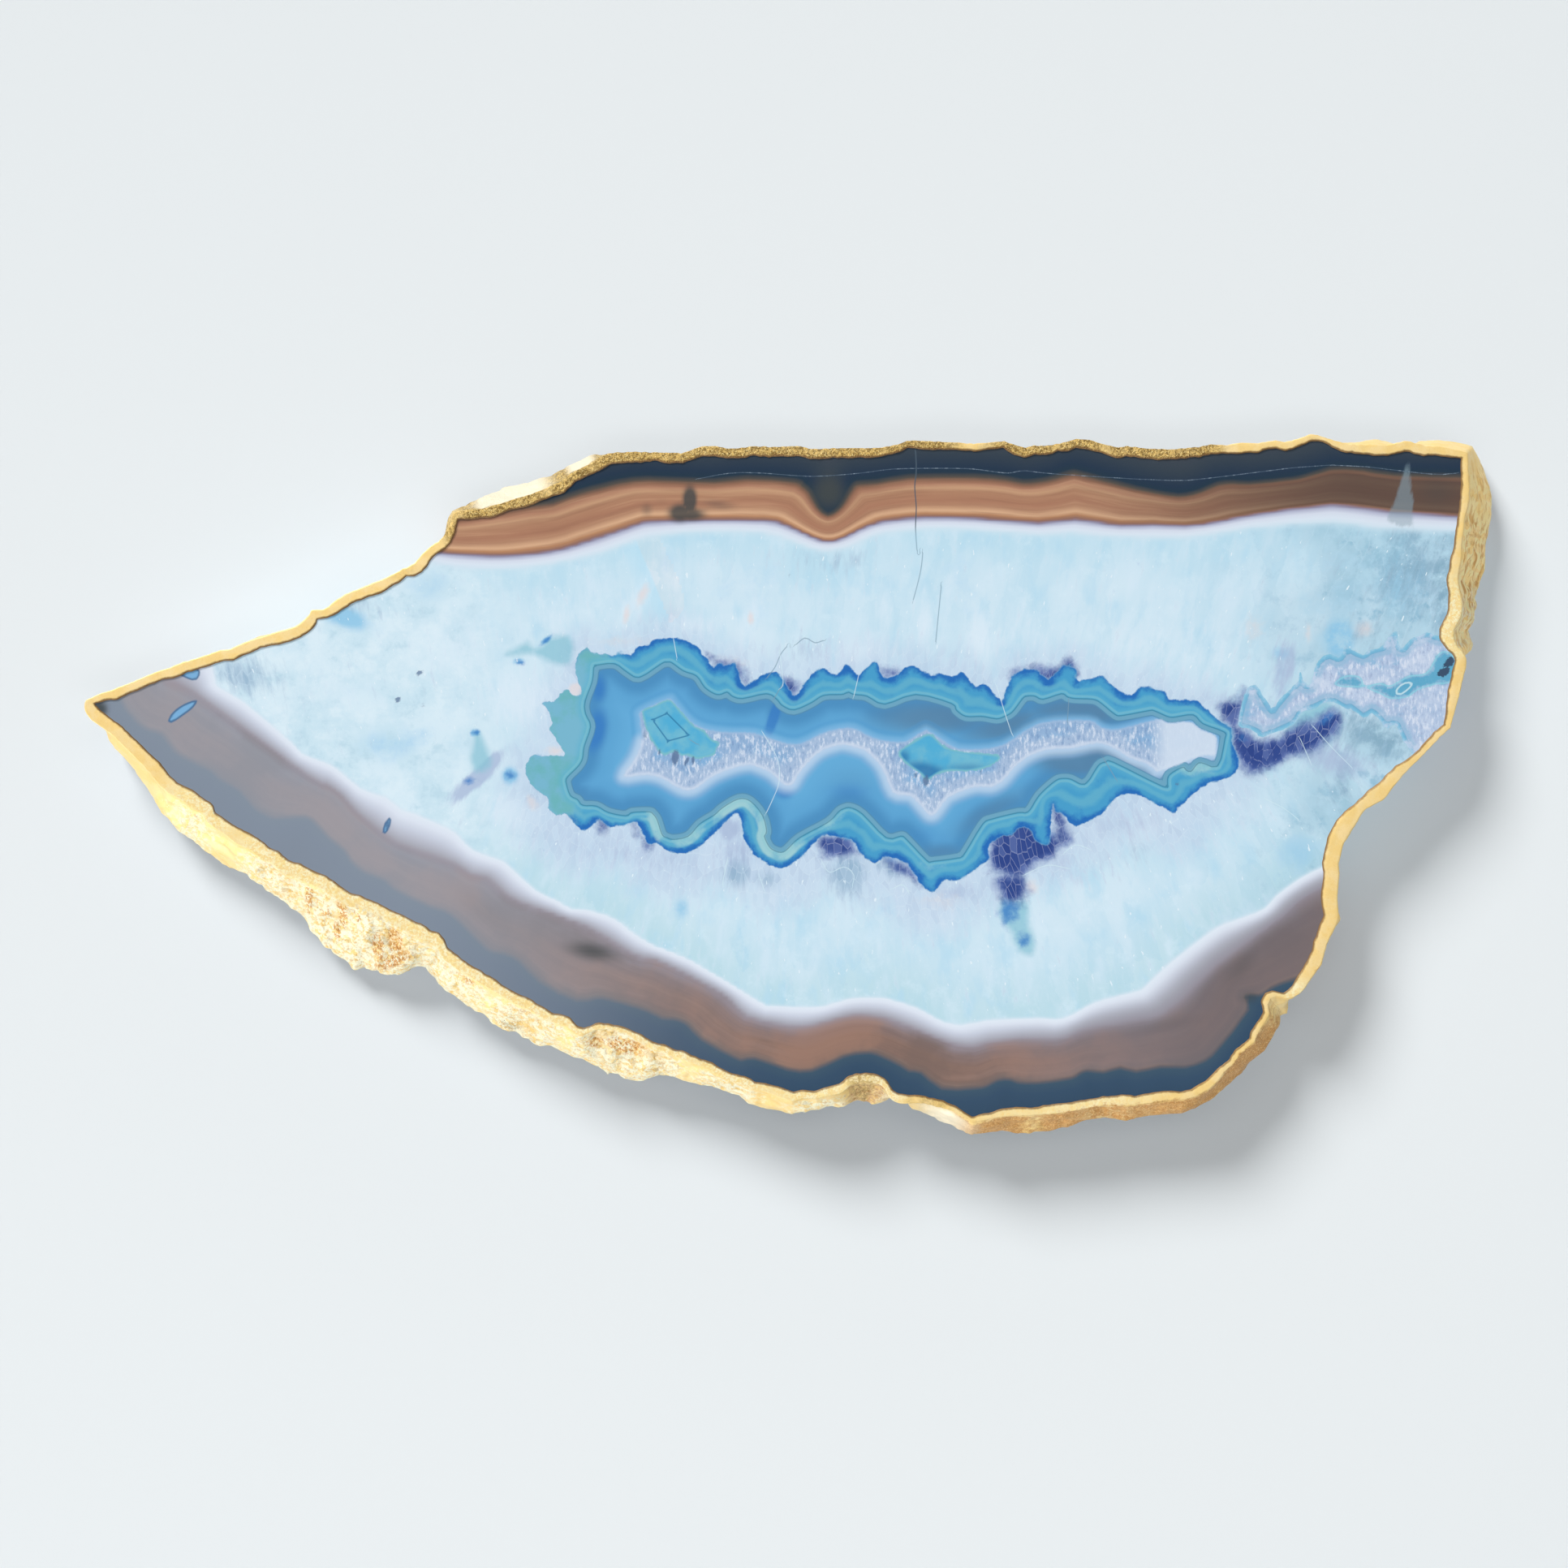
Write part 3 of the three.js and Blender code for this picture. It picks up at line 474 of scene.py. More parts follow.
def nearest(points, line, closed=True):
    """Distance to a line, the nearest point on it and the side: every point is dropped square on to
    every segment, the drop is kept between the segment's ends, and the shortest drop wins. The
    side is +1 to the right of the line's direction and -1 to its left."""
    start = line if closed else line[:-1]
    stop = np.roll(line, -1, 0) if closed else line[1:]
    span = stop - start
    length = np.maximum((span**2).sum(1), 1e-9)
    gap = np.empty(len(points))
    foot = np.empty((len(points), 2))
    side = np.empty(len(points))
    for first in range(0, len(points), 3000):
        part = points[first:first + 3000]
        x = part[:, :1] - start[:, 0]
        y = part[:, 1:] - start[:, 1]
        along = np.clip((x * span[:, 0] + y * span[:, 1]) / length, 0, 1)
        away = (x - along * span[:, 0]) ** 2 + (y - along * span[:, 1]) ** 2
        best = away.argmin(1)
        rows = np.arange(len(part))
        picked = slice(first, first + len(part))
        gap[picked] = np.sqrt(away[rows, best])
        foot[picked] = start[best] + along[rows, best, None] * span[best]
        cross = span[best, 1] * x[rows, best] - span[best, 0] * y[rows, best]
        side[picked] = np.where(cross >= 0, 1.0, -1.0)
    return gap, foot, side


def within(points, outline):
    """True where a point lies inside an outline: a level ray crosses it an odd number of times."""
    x0, y0 = outline.T
    x1, y1 = np.roll(outline, -1, 0).T
    slope = (x1 - x0) / np.where(y1 == y0, 1e-9, y1 - y0)
    result = np.empty(len(points), bool)
    for first in range(0, len(points), 3000):
        part = points[first:first + 3000]
        x = part[:, :1]
        y = part[:, 1:]
        crossed = ((y0 > y) != (y1 > y)) & (x < x0 + (y - y0) * slope)
        result[first:first + len(part)] = crossed.sum(1) % 2 == 1
    return result


def depth(points, outline, limit=12.0):
    """Signed distance to a closed outline in millimetres, positive inside and held to the limit."""
    result = np.full(len(points), -limit)
    low = outline.min(0) - limit
    high = outline.max(0) + limit
    close = ((points > low) & (points < high)).all(1)
    part = points[close]
    gap, foot, side = nearest(part, outline)
    result[close] = np.where(within(part, outline), gap, -gap)
    return np.clip(result, -limit, limit)


def deepest(points, outlines, limit=12.0, steps=2):
    """The largest of the depths in several outlines."""
    depths = [depth(points, rounded(outline, steps=steps), limit) for outline in outlines]
    return np.max(depths, axis=0)


def beyond(points, line, far_corners):
    """Signed distance to an open line, positive on the side of the far corners."""
    curve = rounded(line, closed=False, steps=2)
    gap, foot, side = nearest(points, curve, closed=False)
    area = np.vstack([curve, on_face(far_corners)])
    return np.where(within(points, area), gap, -gap)


def band_place(first, second, third):
    """One running number over three nested borders: 0, 1 and 2 on the borders, in between the share
    of the way from one to the next, and outside them a tenth of the distance in millimetres."""
    one = first / np.maximum(first - second, 1e-6)
    two = 1 + second / np.maximum(second - third, 1e-6)
    inner = np.where(third < 0, two, 2 + third / 10)
    middle = np.where(second < 0, one, inner)
    return np.where(first < 0, first / 10, middle)


def patches(points, rows):
    """Soft patches, each a bell over a turned ellipse: strength times exp(-r squared), r being the
    distance in half axes. The strongest one counts."""
    best = np.zeros(len(points))
    for x, y, long, wide, turn, strength in rows:
        middle = on_face([(x, y)])[0]
        turned = np.radians(-turn)
        away = points - middle
        u = (away[:, 0] * np.cos(turned) + away[:, 1] * np.sin(turned)) / (long * FACE_UNIT)
        v = (away[:, 1] * np.cos(turned) - away[:, 0] * np.sin(turned)) / (wide * FACE_UNIT)
        best = np.maximum(best, strength * np.exp(-u * u - v * v))
    return best


def veins(points, lines):
    """For thin lines: the signed distance to the nearest one, and the plain distance to it."""
    plain = np.full(len(points), 6.0)
    signed = np.full(len(points), 6.0)
    for line in lines:
        curve = rounded(line, closed=False, steps=3)
        low = curve.min(0) - 6
        high = curve.max(0) + 6
        close = np.flatnonzero(((points > low) & (points < high)).all(1))
        gap, foot, side = nearest(points[close], curve, closed=False)
        nearer = gap < plain[close]
        plain[close[nearer]] = gap[nearer]
        signed[close[nearer]] = (gap * side)[nearer]
    return signed, plain


def lumps(points, size, seed):
    """Smooth noise from 0 to 1: random values on a cubic lattice of the given size in millimetres,
    blended between the eight nearest with a smooth step."""
    lattice = np.random.default_rng(seed).random((32, 32, 32))
    place = points / size
    base = np.floor(place).astype(int)
    part = place - base
    part = part * part * (3 - 2 * part)
    total = np.zeros(points.shape[:-1])
    for corner in np.ndindex(2, 2, 2):
        weight = np.prod(np.where(np.array(corner) == 1, part, 1 - part), axis=-1)
        x, y, z = np.moveaxis((base + corner) % 32, -1, 0)
        total += weight * lattice[x, y, z]
    return total


def ring(node, height):
    """The outline of a CAD node at one height: its corners there, in order of their angle about the
    loop point, in millimetres."""
    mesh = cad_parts[node].data
    corners = np.empty(len(mesh.vertices) * 3)
    mesh.vertices.foreach_get("co", corners)
    corners = corners.reshape(-1, 3) / MM
    level = corners[np.abs(corners[:, 2] - height) < 0.02, :2]
    level = np.unique(level.round(2), axis=0)
    if len(level) < 50:
        raise RuntimeError(f"{node} has no outline at {height} mm")
    angle = np.arctan2(level[:, 1] - LOOP_POINT[1], level[:, 0] - LOOP_POINT[0])
    return level[np.argsort(angle)]


def resampled(loop, count):
    """Evenly spaced points on a closed loop, by the length run along it."""
    closed = np.vstack([loop, loop[:1]])
    run = np.append(0, np.cumsum(np.hypot(*np.diff(closed, axis=0).T)))
    place = np.linspace(0, run[-1], count, endpoint=False)
    return np.stack([np.interp(place, run, closed[:, axis]) for axis in (0, 1)], 1)


def softened(values, width):
    """Running mean round a closed loop, over the given number of places each way."""
    total = sum(np.roll(values, shift, 0) for shift in range(-width, width + 1))
    return total / (2 * width + 1)


def outward(loop, width):
    """Outward directions of a loop that runs anticlockwise: its softened run turned a right angle."""
    run = np.roll(loop, -1, 0) - np.roll(loop, 1, 0)
    run = softened(run, width)
    away = np.stack([run[:, 1], -run[:, 0]], 1)
    return away / np.hypot(*away.T)[:, None]


def reach(origins, directions, loop):
    """How far each ray runs to a loop. Ray and segment are solved as two crossing lines, and of the
    crossings from a little behind the origin onwards the first is kept."""
    span = np.roll(loop, -1, 0) - loop
    x = loop[:, 0] - origins[:, :1]
    y = loop[:, 1] - origins[:, 1:]
    cross = directions[:, :1] * span[:, 1] - directions[:, 1:] * span[:, 0]
    cross = np.where(np.abs(cross) < 1e-9, 1e-9, cross)
    along = (x * span[:, 1] - y * span[:, 0]) / cross
    share = (x * directions[:, 1:] - y * directions[:, :1]) / cross
    valid = (share >= 0) & (share <= 1) & (along > -3) & (along < 32)
    found = np.where(valid, along, np.inf).min(1)
    known = np.isfinite(found)
    places = np.arange(len(found))
    return np.interp(places, places[known], found[known], period=len(found))


def plate(columns, rows, outline, tolerance):
    """A flat grid cut to an outline. Cells whose corners are all inside, or outside by less than the
    tolerance, are kept, and the corners on the border of the kept cells move to the nearest point
    of the outline. Returns the corners, the quads and the border's corners in order,
    anticlockwise. The order comes from doubling: each border corner's jump to the next is squared
    until every one knows its steps to the last."""
    x, y = np.meshgrid(columns, rows)
    points = np.stack([x.ravel(), y.ravel()], 1)
    inside = depth(points, outline, 1000.0).reshape(x.shape) > -tolerance
    kept = inside[:-1, :-1] & inside[:-1, 1:] & inside[1:, :-1] & inside[1:, 1:]
    kept = np.pad(kept, 1)
    number = np.arange(x.size).reshape(x.shape)
    j, i = np.nonzero(kept[1:-1, 1:-1])
    quads = np.stack([number[j, i], number[j, i + 1], number[j + 1, i + 1], number[j + 1, i]], 1)
    neighbours = ((-1, 0, 0, 1), (0, 1, 1, 2), (1, 0, 2, 3), (0, -1, 3, 0))
    starts = []
    stops = []
    for down, across, first, second in neighbours:
        open_side = ~kept[j + 1 + down, i + 1 + across]
        starts.append(quads[open_side, first])
        stops.append(quads[open_side, second])
    start = np.concatenate(starts)
    stop = np.concatenate(stops)
    if len(np.unique(start)) != len(start):
        raise RuntimeError("the cut grid's border touches itself")
    where = np.full(x.size, -1)
    where[start] = np.arange(len(start))
    jump = where[stop]
    steps = np.ones(len(start), int)
    jump[0] = 0
    steps[0] = 0
    for doubling in range(int(np.ceil(np.log2(len(start)))) + 1):
        steps = steps + steps[jump]
        jump = jump[jump]
    if len(np.unique(steps)) != len(steps):
        raise RuntimeError("the cut grid is in more than one piece")
    border = start[np.argsort(-steps)]
    gap, foot, side = nearest(points[border], outline)
    points[border] = foot
    used, fresh = np.unique(quads, return_inverse=True)
    renumber = np.full(x.size, -1)
    renumber[used] = np.arange(len(used))
    return points[used], renumber[quads], renumber[border]


def grid_lines(low, high, fine_low, fine_high, fine, coarse):
    """Grid lines from low to high: the fine step between the fine limits, the coarse one outside."""
    before = np.arange(fine_low - coarse, low - coarse, -coarse)[::-1]
    between = np.arange(fine_low, fine_high, fine)
    after = np.arange(fine_high, high + coarse, coarse)
    return np.concatenate([before, between, after])


def zip_loops(upper, lower, upper_angle, lower_angle):
    """Triangles between two loops round the same point: all their corners are taken in order of angle,
    and each makes a triangle with the corner before it on its own loop and the last one passed on
    the other."""
    upper_stop = np.append(upper_angle[1:], upper_angle[0] + 2 * np.pi)
    lower_stop = np.append(lower_angle[1:], lower_angle[0] + 2 * np.pi)
    lower_twice = np.append(lower_angle, lower_angle + 2 * np.pi)
    upper_twice = np.append(upper_angle, upper_angle + 2 * np.pi)
    below = (np.searchsorted(lower_twice, upper_stop, "right") - 1) % len(lower)
    above = (np.searchsorted(upper_twice, lower_stop, "left") - 1) % len(upper)
    one = np.stack([upper, lower[below], np.roll(upper, -1)], 1)
    two = np.stack([lower, np.roll(lower, -1), upper[above]], 1)
    return np.vstack([one, two])


def from_smallest_angle(loop, points):
    """A loop's corners and their rising angles about the loop point, from the smallest one on."""
    away = points[loop] - LOOP_POINT
    angle = np.unwrap(np.arctan2(away[:, 1], away[:, 0]))
    first = int(np.argmin(np.mod(angle, 2 * np.pi)))
    loop = np.roll(loop, -first)
    away = points[loop] - LOOP_POINT
    angle = np.unwrap(np.arctan2(away[:, 1], away[:, 0]))
    angle = angle - angle[0] + np.mod(angle[0], 2 * np.pi)
    angle = np.maximum.accumulate(angle) + np.arange(len(angle)) * 1e-9
    return loop, angle


def stone_shape(settings):
    """The stone as one closed mesh. Its face and underside are flat grids cut to the CAD outlines at
    those heights, and its side wall joins them by loops on the CAD outlines in between. Returns
    corners in millimetres, quads and triangles."""
    face = settings.face_height / MM
    outline = ring("agate_slab", 19.2)
    low = outline.min(0)
    high = outline.max(0)
    fine_low = on_face([(640, 1110)])[0]
    fine_high = on_face([(1535, 780)])[0]
    fine = settings.fine_step / MM
    coarse = settings.coarse_step / MM
    columns = grid_lines(low[0], high[0], fine_low[0], fine_high[0], fine, coarse)
    rows = grid_lines(low[1], high[1], fine_low[1], fine_high[1], fine, coarse)
    top, top_quads, border = plate(columns, rows, outline, 0.25 * fine)
    base_outline = ring("agate_slab", 0)
    low = base_outline.min(0)
    high = base_outline.max(0)
    step = settings.underside_step / MM
    columns = np.arange(low[0] + 0.3 * step, high[0], step)
    rows = np.arange(low[1] + 0.4 * step, high[1], step)
    base, base_quads, base_border = plate(columns, rows, base_outline, 0.25 * step)
    edge = top[border]
    direction = outward(edge, 8)
    corners = [np.column_stack([top, np.full(len(top), face)])]
    count = len(top)
    loops = [border]
    for height in (16, 12, 8, 4.5):
        away = reach(edge, direction, ring("agate_slab", height)) - 2.6
        level = edge + direction * away[:, None]
        corners.append(np.column_stack([level, np.full(len(level), height)]))
        loops.append(count + np.arange(len(level)))
        count += len(level)
    corners.append(np.column_stack([base, np.zeros(len(base))]))
    base_loop = base_border + count
    corners = np.vstack(corners)
    quads = [top_quads, (base_quads + count)[:, ::-1]]
    for upper, lower in zip(loops[:-1], loops[1:]):
        quads.append(np.stack([upper, lower, np.roll(lower, -1), np.roll(upper, -1)], 1))
    upper, upper_angle = from_smallest_angle(loops[-1], corners[:, :2])
    lower, lower_angle = from_smallest_angle(base_loop, corners[:, :2])
    triangles = zip_loops(upper, lower, upper_angle, lower_angle)
    return corners, np.vstack(quads), triangles


def stone_fields(points):
    """The pattern's fields at each corner, from its place on the face: running numbers over the bands
    and the core, depths inside outlines, distances to veins, and soft patches."""
    below = [(1900, 1900), (-100, 1900), (-100, 300), (470, 300)]
    above = [(1900, 1000), (1900, 200), (140, 200)]
    upper = [beyond(points, line, below) for line in (UPPER_BROWN, UPPER_WHITE, UPPER_CRYSTAL)]
    lower = [beyond(points, line, above) for line in (LOWER_BROWN, LOWER_WHITE, LOWER_CRYSTAL)]
    edge = depth(points, rounded(CORE_EDGE, steps=2), 24.0)
    line = depth(points, rounded(CORE_LINE), 16.0)
    druse = depth(points, rounded(DRUSE_EDGE), 16.0)
    turn = DRUSE_EDGE.index((1498, 925))
    low, low_near = veins(points, [DRUSE_EDGE[turn:] + DRUSE_EDGE[:3]])
    dark, dark_near = veins(points, DARK_VEINS)
    pale, pale_near = veins(points, PALE_VEINS)
    hairline, hairline_near = veins(points, [UPPER_HAIRLINE])
    fault, fault_near = veins(points, [FAULT])
    fields = {
        "upper_band": band_place(*upper),
        "lower_band": band_place(*lower),
        "upper_depth": upper[2],
        "lower_depth": lower[2],
        "core_band": band_place(edge, line, druse),
        "core_edge": edge,
        "halo_edge": edge + 6 * np.clip((4 - points[:, 1]) / 14, 0, 1),
        "core_line": line,
        "druse_edge": druse,
        "druse_low": low_near,
        "eyes": deepest(points, [LEFT_EYE, RIGHT_EYE]),
        "eye_line": deepest(points, [LEFT_EYE_LINE]),
        "side_druse": depth(points, rounded(SIDE_DRUSE, steps=2)),
        "side_teal": depth(points, rounded(SIDE_TEAL, steps=2)),
        "side_loop": deepest(points, [SIDE_LOOP]),
        "side_pits": deepest(points, SIDE_PITS),
        "stain": deepest(points, STAINS),
        "sea": deepest(points, SEA_PATCHES),
        "shaft": deepest(points, [SHAFT]),
        "lens": deepest(points, LENSES),
        "dark_vein": dark,
        "dark_vein_near": dark_near,
        "pale_vein": pale,
        "pale_vein_near": pale_near,
        "hairline": hairline,
        "hairline_near": hairline_near,
        "azure": patches(points, AZURE_PATCHES),
        "pale": patches(points, PALE_PATCHES),
        "grey": patches(points, GREY_PATCHES),
        "lilac": patches(points, LILAC_PATCHES),
        "dark": patches(points, DARK_PATCHES),
        "deep": patches(points, DEEP_PATCHES),
        "greyed": patches(points, GREYED_PATCHES),
        "bare": patches(points, BARE_PATCHES),
        "cream": patches(points, CREAM_PATCHES),
        "rosy": patches(points, ROSY_PATCHES),
        "spots": patches(points, BLUE_SPOTS),
        "holes": patches(points, HOLES),
        "fault": fault,
        "fault_near": fault_near,
    }
    return fields


def growth(points, picture_focus, radius):
    """Crystal directions as a fan: how far round a far focus, times a mean radius, and how far from
    it, both in millimetres."""
    away = points - on_face([picture_focus])[0]
    angle = np.arctan2(away[:, 0], np.abs(away[:, 1]))
    return np.column_stack([angle * radius, np.hypot(*away.T), np.zeros(len(points))])


def add(tree, kind, settings=None, sockets=None):
    """Adds one node, sets its properties, and fills its inputs: a socket is linked, the rest is set."""
    node = tree.nodes.new(kind)
    for name, value in (settings or {}).items():
        setattr(node, name, value)
    for name, value in (sockets or {}).items():
        if isinstance(value, bpy.types.NodeSocket):
            tree.links.new(value, node.inputs[name])
        else:
            node.inputs[name].default_value = value
    return node


def new_material(name):
    """An empty node material with its output."""
    material = bpy.data.materials.new(name)
    material.use_nodes = True
    material.node_tree.nodes.clear()
    output = material.node_tree.nodes.new("ShaderNodeOutputMaterial")
    return material, material.node_tree, output


def tint(settings, colour):
    """A colour with its fourth value: a hex one is made linear, any other word names a setting."""
    picked = linear(colour) if colour.startswith("#") else getattr(settings, colour)
    return (*picked, 1.0)


def polished_agate(settings, names):
    """Dyed agate and quartz, sawn, lapped and polished to a wet gloss. The dye took well in the porous
    bands and poorly in the crystals, so bands are deep and even and the crystals are pale, cloudy
    and streaked along their growth."""
    material, tree, output = new_material("polished_dyed_agate")
    field = {}
    for name in names:
        field[name] = add(tree, "ShaderNodeAttribute", {"attribute_name": name}).outputs["Fac"]
    fan = {}
    for name in ("upper_growth", "lower_growth"):
        fan[name] = add(tree, "ShaderNodeAttribute", {"attribute_name": name}).outputs["Vector"]
    place = add(tree, "ShaderNodeTexCoord").outputs["Object"]
    axes = add(tree, "ShaderNodeSeparateXYZ", sockets={0: place})

    # Noises: name, where it is read, stretch of that place, size in 1/unit, detail, roughness
    noises = (
        ("cloud", place, (1, 1, 1), 1 / (22 * MM), 4, 0.55),
        ("wisp", place, (1, 1, 1), 1 / (6 * MM), 6, 0.65),
        ("mist", place, (1, 1, 1), 1 / (10 * MM), 6, 0.6),
        ("tooth", place, (1, 1, 1), 1 / (2.2 * MM), 4, 0.6),
        ("grain", place, (1, 1, 1), 1 / (0.9 * MM), 3, 0.7),
        ("speck", place, (1, 1, 1), 1 / (0.8 * MM), 2, 0.5),
        ("fur", place, (1, 0.35, 1), 1 / (0.7 * MM), 3, 0.65),
        ("upper_blob", fan["upper_growth"], (1 / 5, 1 / 13, 1), 1.0, 3, 0.5),
        ("upper_streak", fan["upper_growth"], (1 / 1.8, 1 / 8, 1), 1.0, 5, 0.65),
        ("upper_fleck", fan["upper_growth"], (1 / 0.9, 1 / 2.6, 1), 1.0, 2, 0.5),
        ("lower_blob", fan["lower_growth"], (1 / 5, 1 / 12, 1), 1.0, 3, 0.5),
        ("lower_streak", fan["lower_growth"], (1 / 1.8, 1 / 8, 1), 1.0, 5, 0.7),
        ("lower_fleck", fan["lower_growth"], (1 / 0.9, 1 / 2.6, 1), 1.0, 2, 0.5),
    )
    for name, source, stretch, scale, detail, roughness in noises:
        moved = add(tree, "ShaderNodeVectorMath", {"operation": "MULTIPLY"}, {0: source, 1: stretch})
        sockets = {"Vector": moved.outputs[0], "Scale": scale, "Detail": detail,
                   "Roughness": roughness}
        noise = add(tree, "ShaderNodeTexNoise", sockets=sockets)
        field[name] = noise.outputs["Fac"]
        if name == "wisp":
            drift = noise.outputs["Color"]

    # Fine lines along the bands: noise read over the running number and, much slower, over x
    for name in ("upper", "lower"):
        across = add(tree, "ShaderNodeMath", {"operation": "MULTIPLY"},
                     {0: field[name + "_band"], 1: 7.0})
        along = add(tree, "ShaderNodeMath", {"operation": "MULTIPLY"},
                    {0: axes.outputs["X"], 1: 1 / (36 * MM)})
        both = add(tree, "ShaderNodeCombineXYZ", sockets={0: along.outputs[0], 1: across.outputs[0]})
        noise = add(tree, "ShaderNodeTexNoise", {"noise_dimensions": "2D"},
                    {"Vector": both.outputs[0], "Scale": 1.0, "Detail": 3, "Roughness": 0.6})
        field[name + "_lines"] = noise.outputs["Fac"]

    # Single crystals: cells stretched along the growth with wavy sides, and shorter straight
    # shards round the core. Name, where it is read, stretch, how far the sides wave
    cells = (
        ("upper_cell", fan["upper_growth"], (1 / 4.5, 1 / 13, 1), 0.9),
        ("lower_cell", fan["lower_growth"], (1 / 4.2, 1 / 11, 1), 0.9),
        ("upper_shard", fan["upper_growth"], (1 / 1.5, 1 / 3.2, 1), 0.5),
        ("lower_shard", fan["lower_growth"], (1 / 1.5, 1 / 3.2, 1), 0.5),
    )
    for name, source, stretch, wave in cells:
        moved = add(tree, "ShaderNodeVectorMath", {"operation": "MULTIPLY"}, {0: source, 1: stretch})
        waved = add(tree, "ShaderNodeVectorMath", {"operation": "MULTIPLY_ADD"},
                    {0: drift, 1: (wave, wave, 0), 2: moved.outputs[0]})
        for ending, feature in (("", "F1"), ("_seam", "DISTANCE_TO_EDGE")):
            settled = {"voronoi_dimensions": "2D", "feature": feature}
            cell = add(tree, "ShaderNodeTexVoronoi", settled,
                       {"Vector": waved.outputs[0], "Scale": 1.0})
            if ending:
                field[name + ending] = cell.outputs["Distance"]
            else:
                parts = add(tree, "ShaderNodeSeparateColor", sockets={0: cell.outputs["Color"]})
                field[name] = parts.outputs[0]

    # Crystals grow inwards from the bands on both sides; the core's middle parts the two fans
    parting = add(tree, "ShaderNodeMapRange", {"interpolation_type": "SMOOTHSTEP"},
                  {"Value": axes.outputs["Y"], "From Min": -4 * MM, "From Max": 14 * MM}).outputs[0]
    for name in ("blob", "streak", "fleck", "cell", "cell_seam", "shard", "shard_seam"):
        sockets = {0: parting, 2: field["lower_" + name], 3: field["upper_" + name]}
        field[name] = add(tree, "ShaderNodeMix", {"data_type": "FLOAT"}, sockets).outputs[0]

    # Fields with a ragged edge: name, field, noise, how far the noise moves it
    ragged = (
        ("edge", "core_edge", "tooth", 1.8), ("rim_width", "core_edge", "wisp", 6.5),
        ("druse", "druse_edge", "grain", 0.8), ("stain_rim", "stain", "wisp", 7.0),
        ("sea_rim", "sea", "wisp", 3.0), ("eye_rim", "eyes", "tooth", 1.6),
        ("side_rim", "side_druse", "tooth", 1.2), ("teal_rim", "side_teal", "tooth", 3.4),
        ("pit_rim", "side_pits", "grain", 1.4), ("azure_cloud", "azure", "wisp", 1.3),
        ("pale_cloud", "pale", "streak", 1.1), ("grey_cloud", "grey", "streak", 2.2),
        ("lilac_cloud", "lilac", "streak", 2.0), ("dark_cloud", "dark", "cloud", 0.2),
        ("deep_cloud", "deep", "mist", 0.4), ("halo", "halo_edge", "streak", 10.0),
        ("bare_cloud", "bare", "tooth", 0.8), ("spot_cloud", "spots", "tooth", 1.5),
        ("rosy_cloud", "rosy", "tooth", 0.7), ("hole_cloud", "holes", "grain", 0.8),
        ("cream_cloud", "cream", "tooth", 0.9), ("shaft_rim", "shaft", "streak", 3.0),
        ("lower_wave", "lower_band", "cloud", 0.1),
        ("upper_wave", "upper_band", "cloud", 0.07), ("stripe_wave", "core_band", "mist", 0.5),
    )
    for name, source, noise, move in ragged:
        centred = add(tree, "ShaderNodeMath", {"operation": "SUBTRACT"}, {0: field[noise], 1: 0.5})
        sockets = {0: centred.outputs[0], 1: move, 2: field[source]}
        field[name] = add(tree, "ShaderNodeMath", {"operation": "MULTIPLY_ADD"}, sockets).outputs[0]
    field["x"] = axes.outputs["X"]

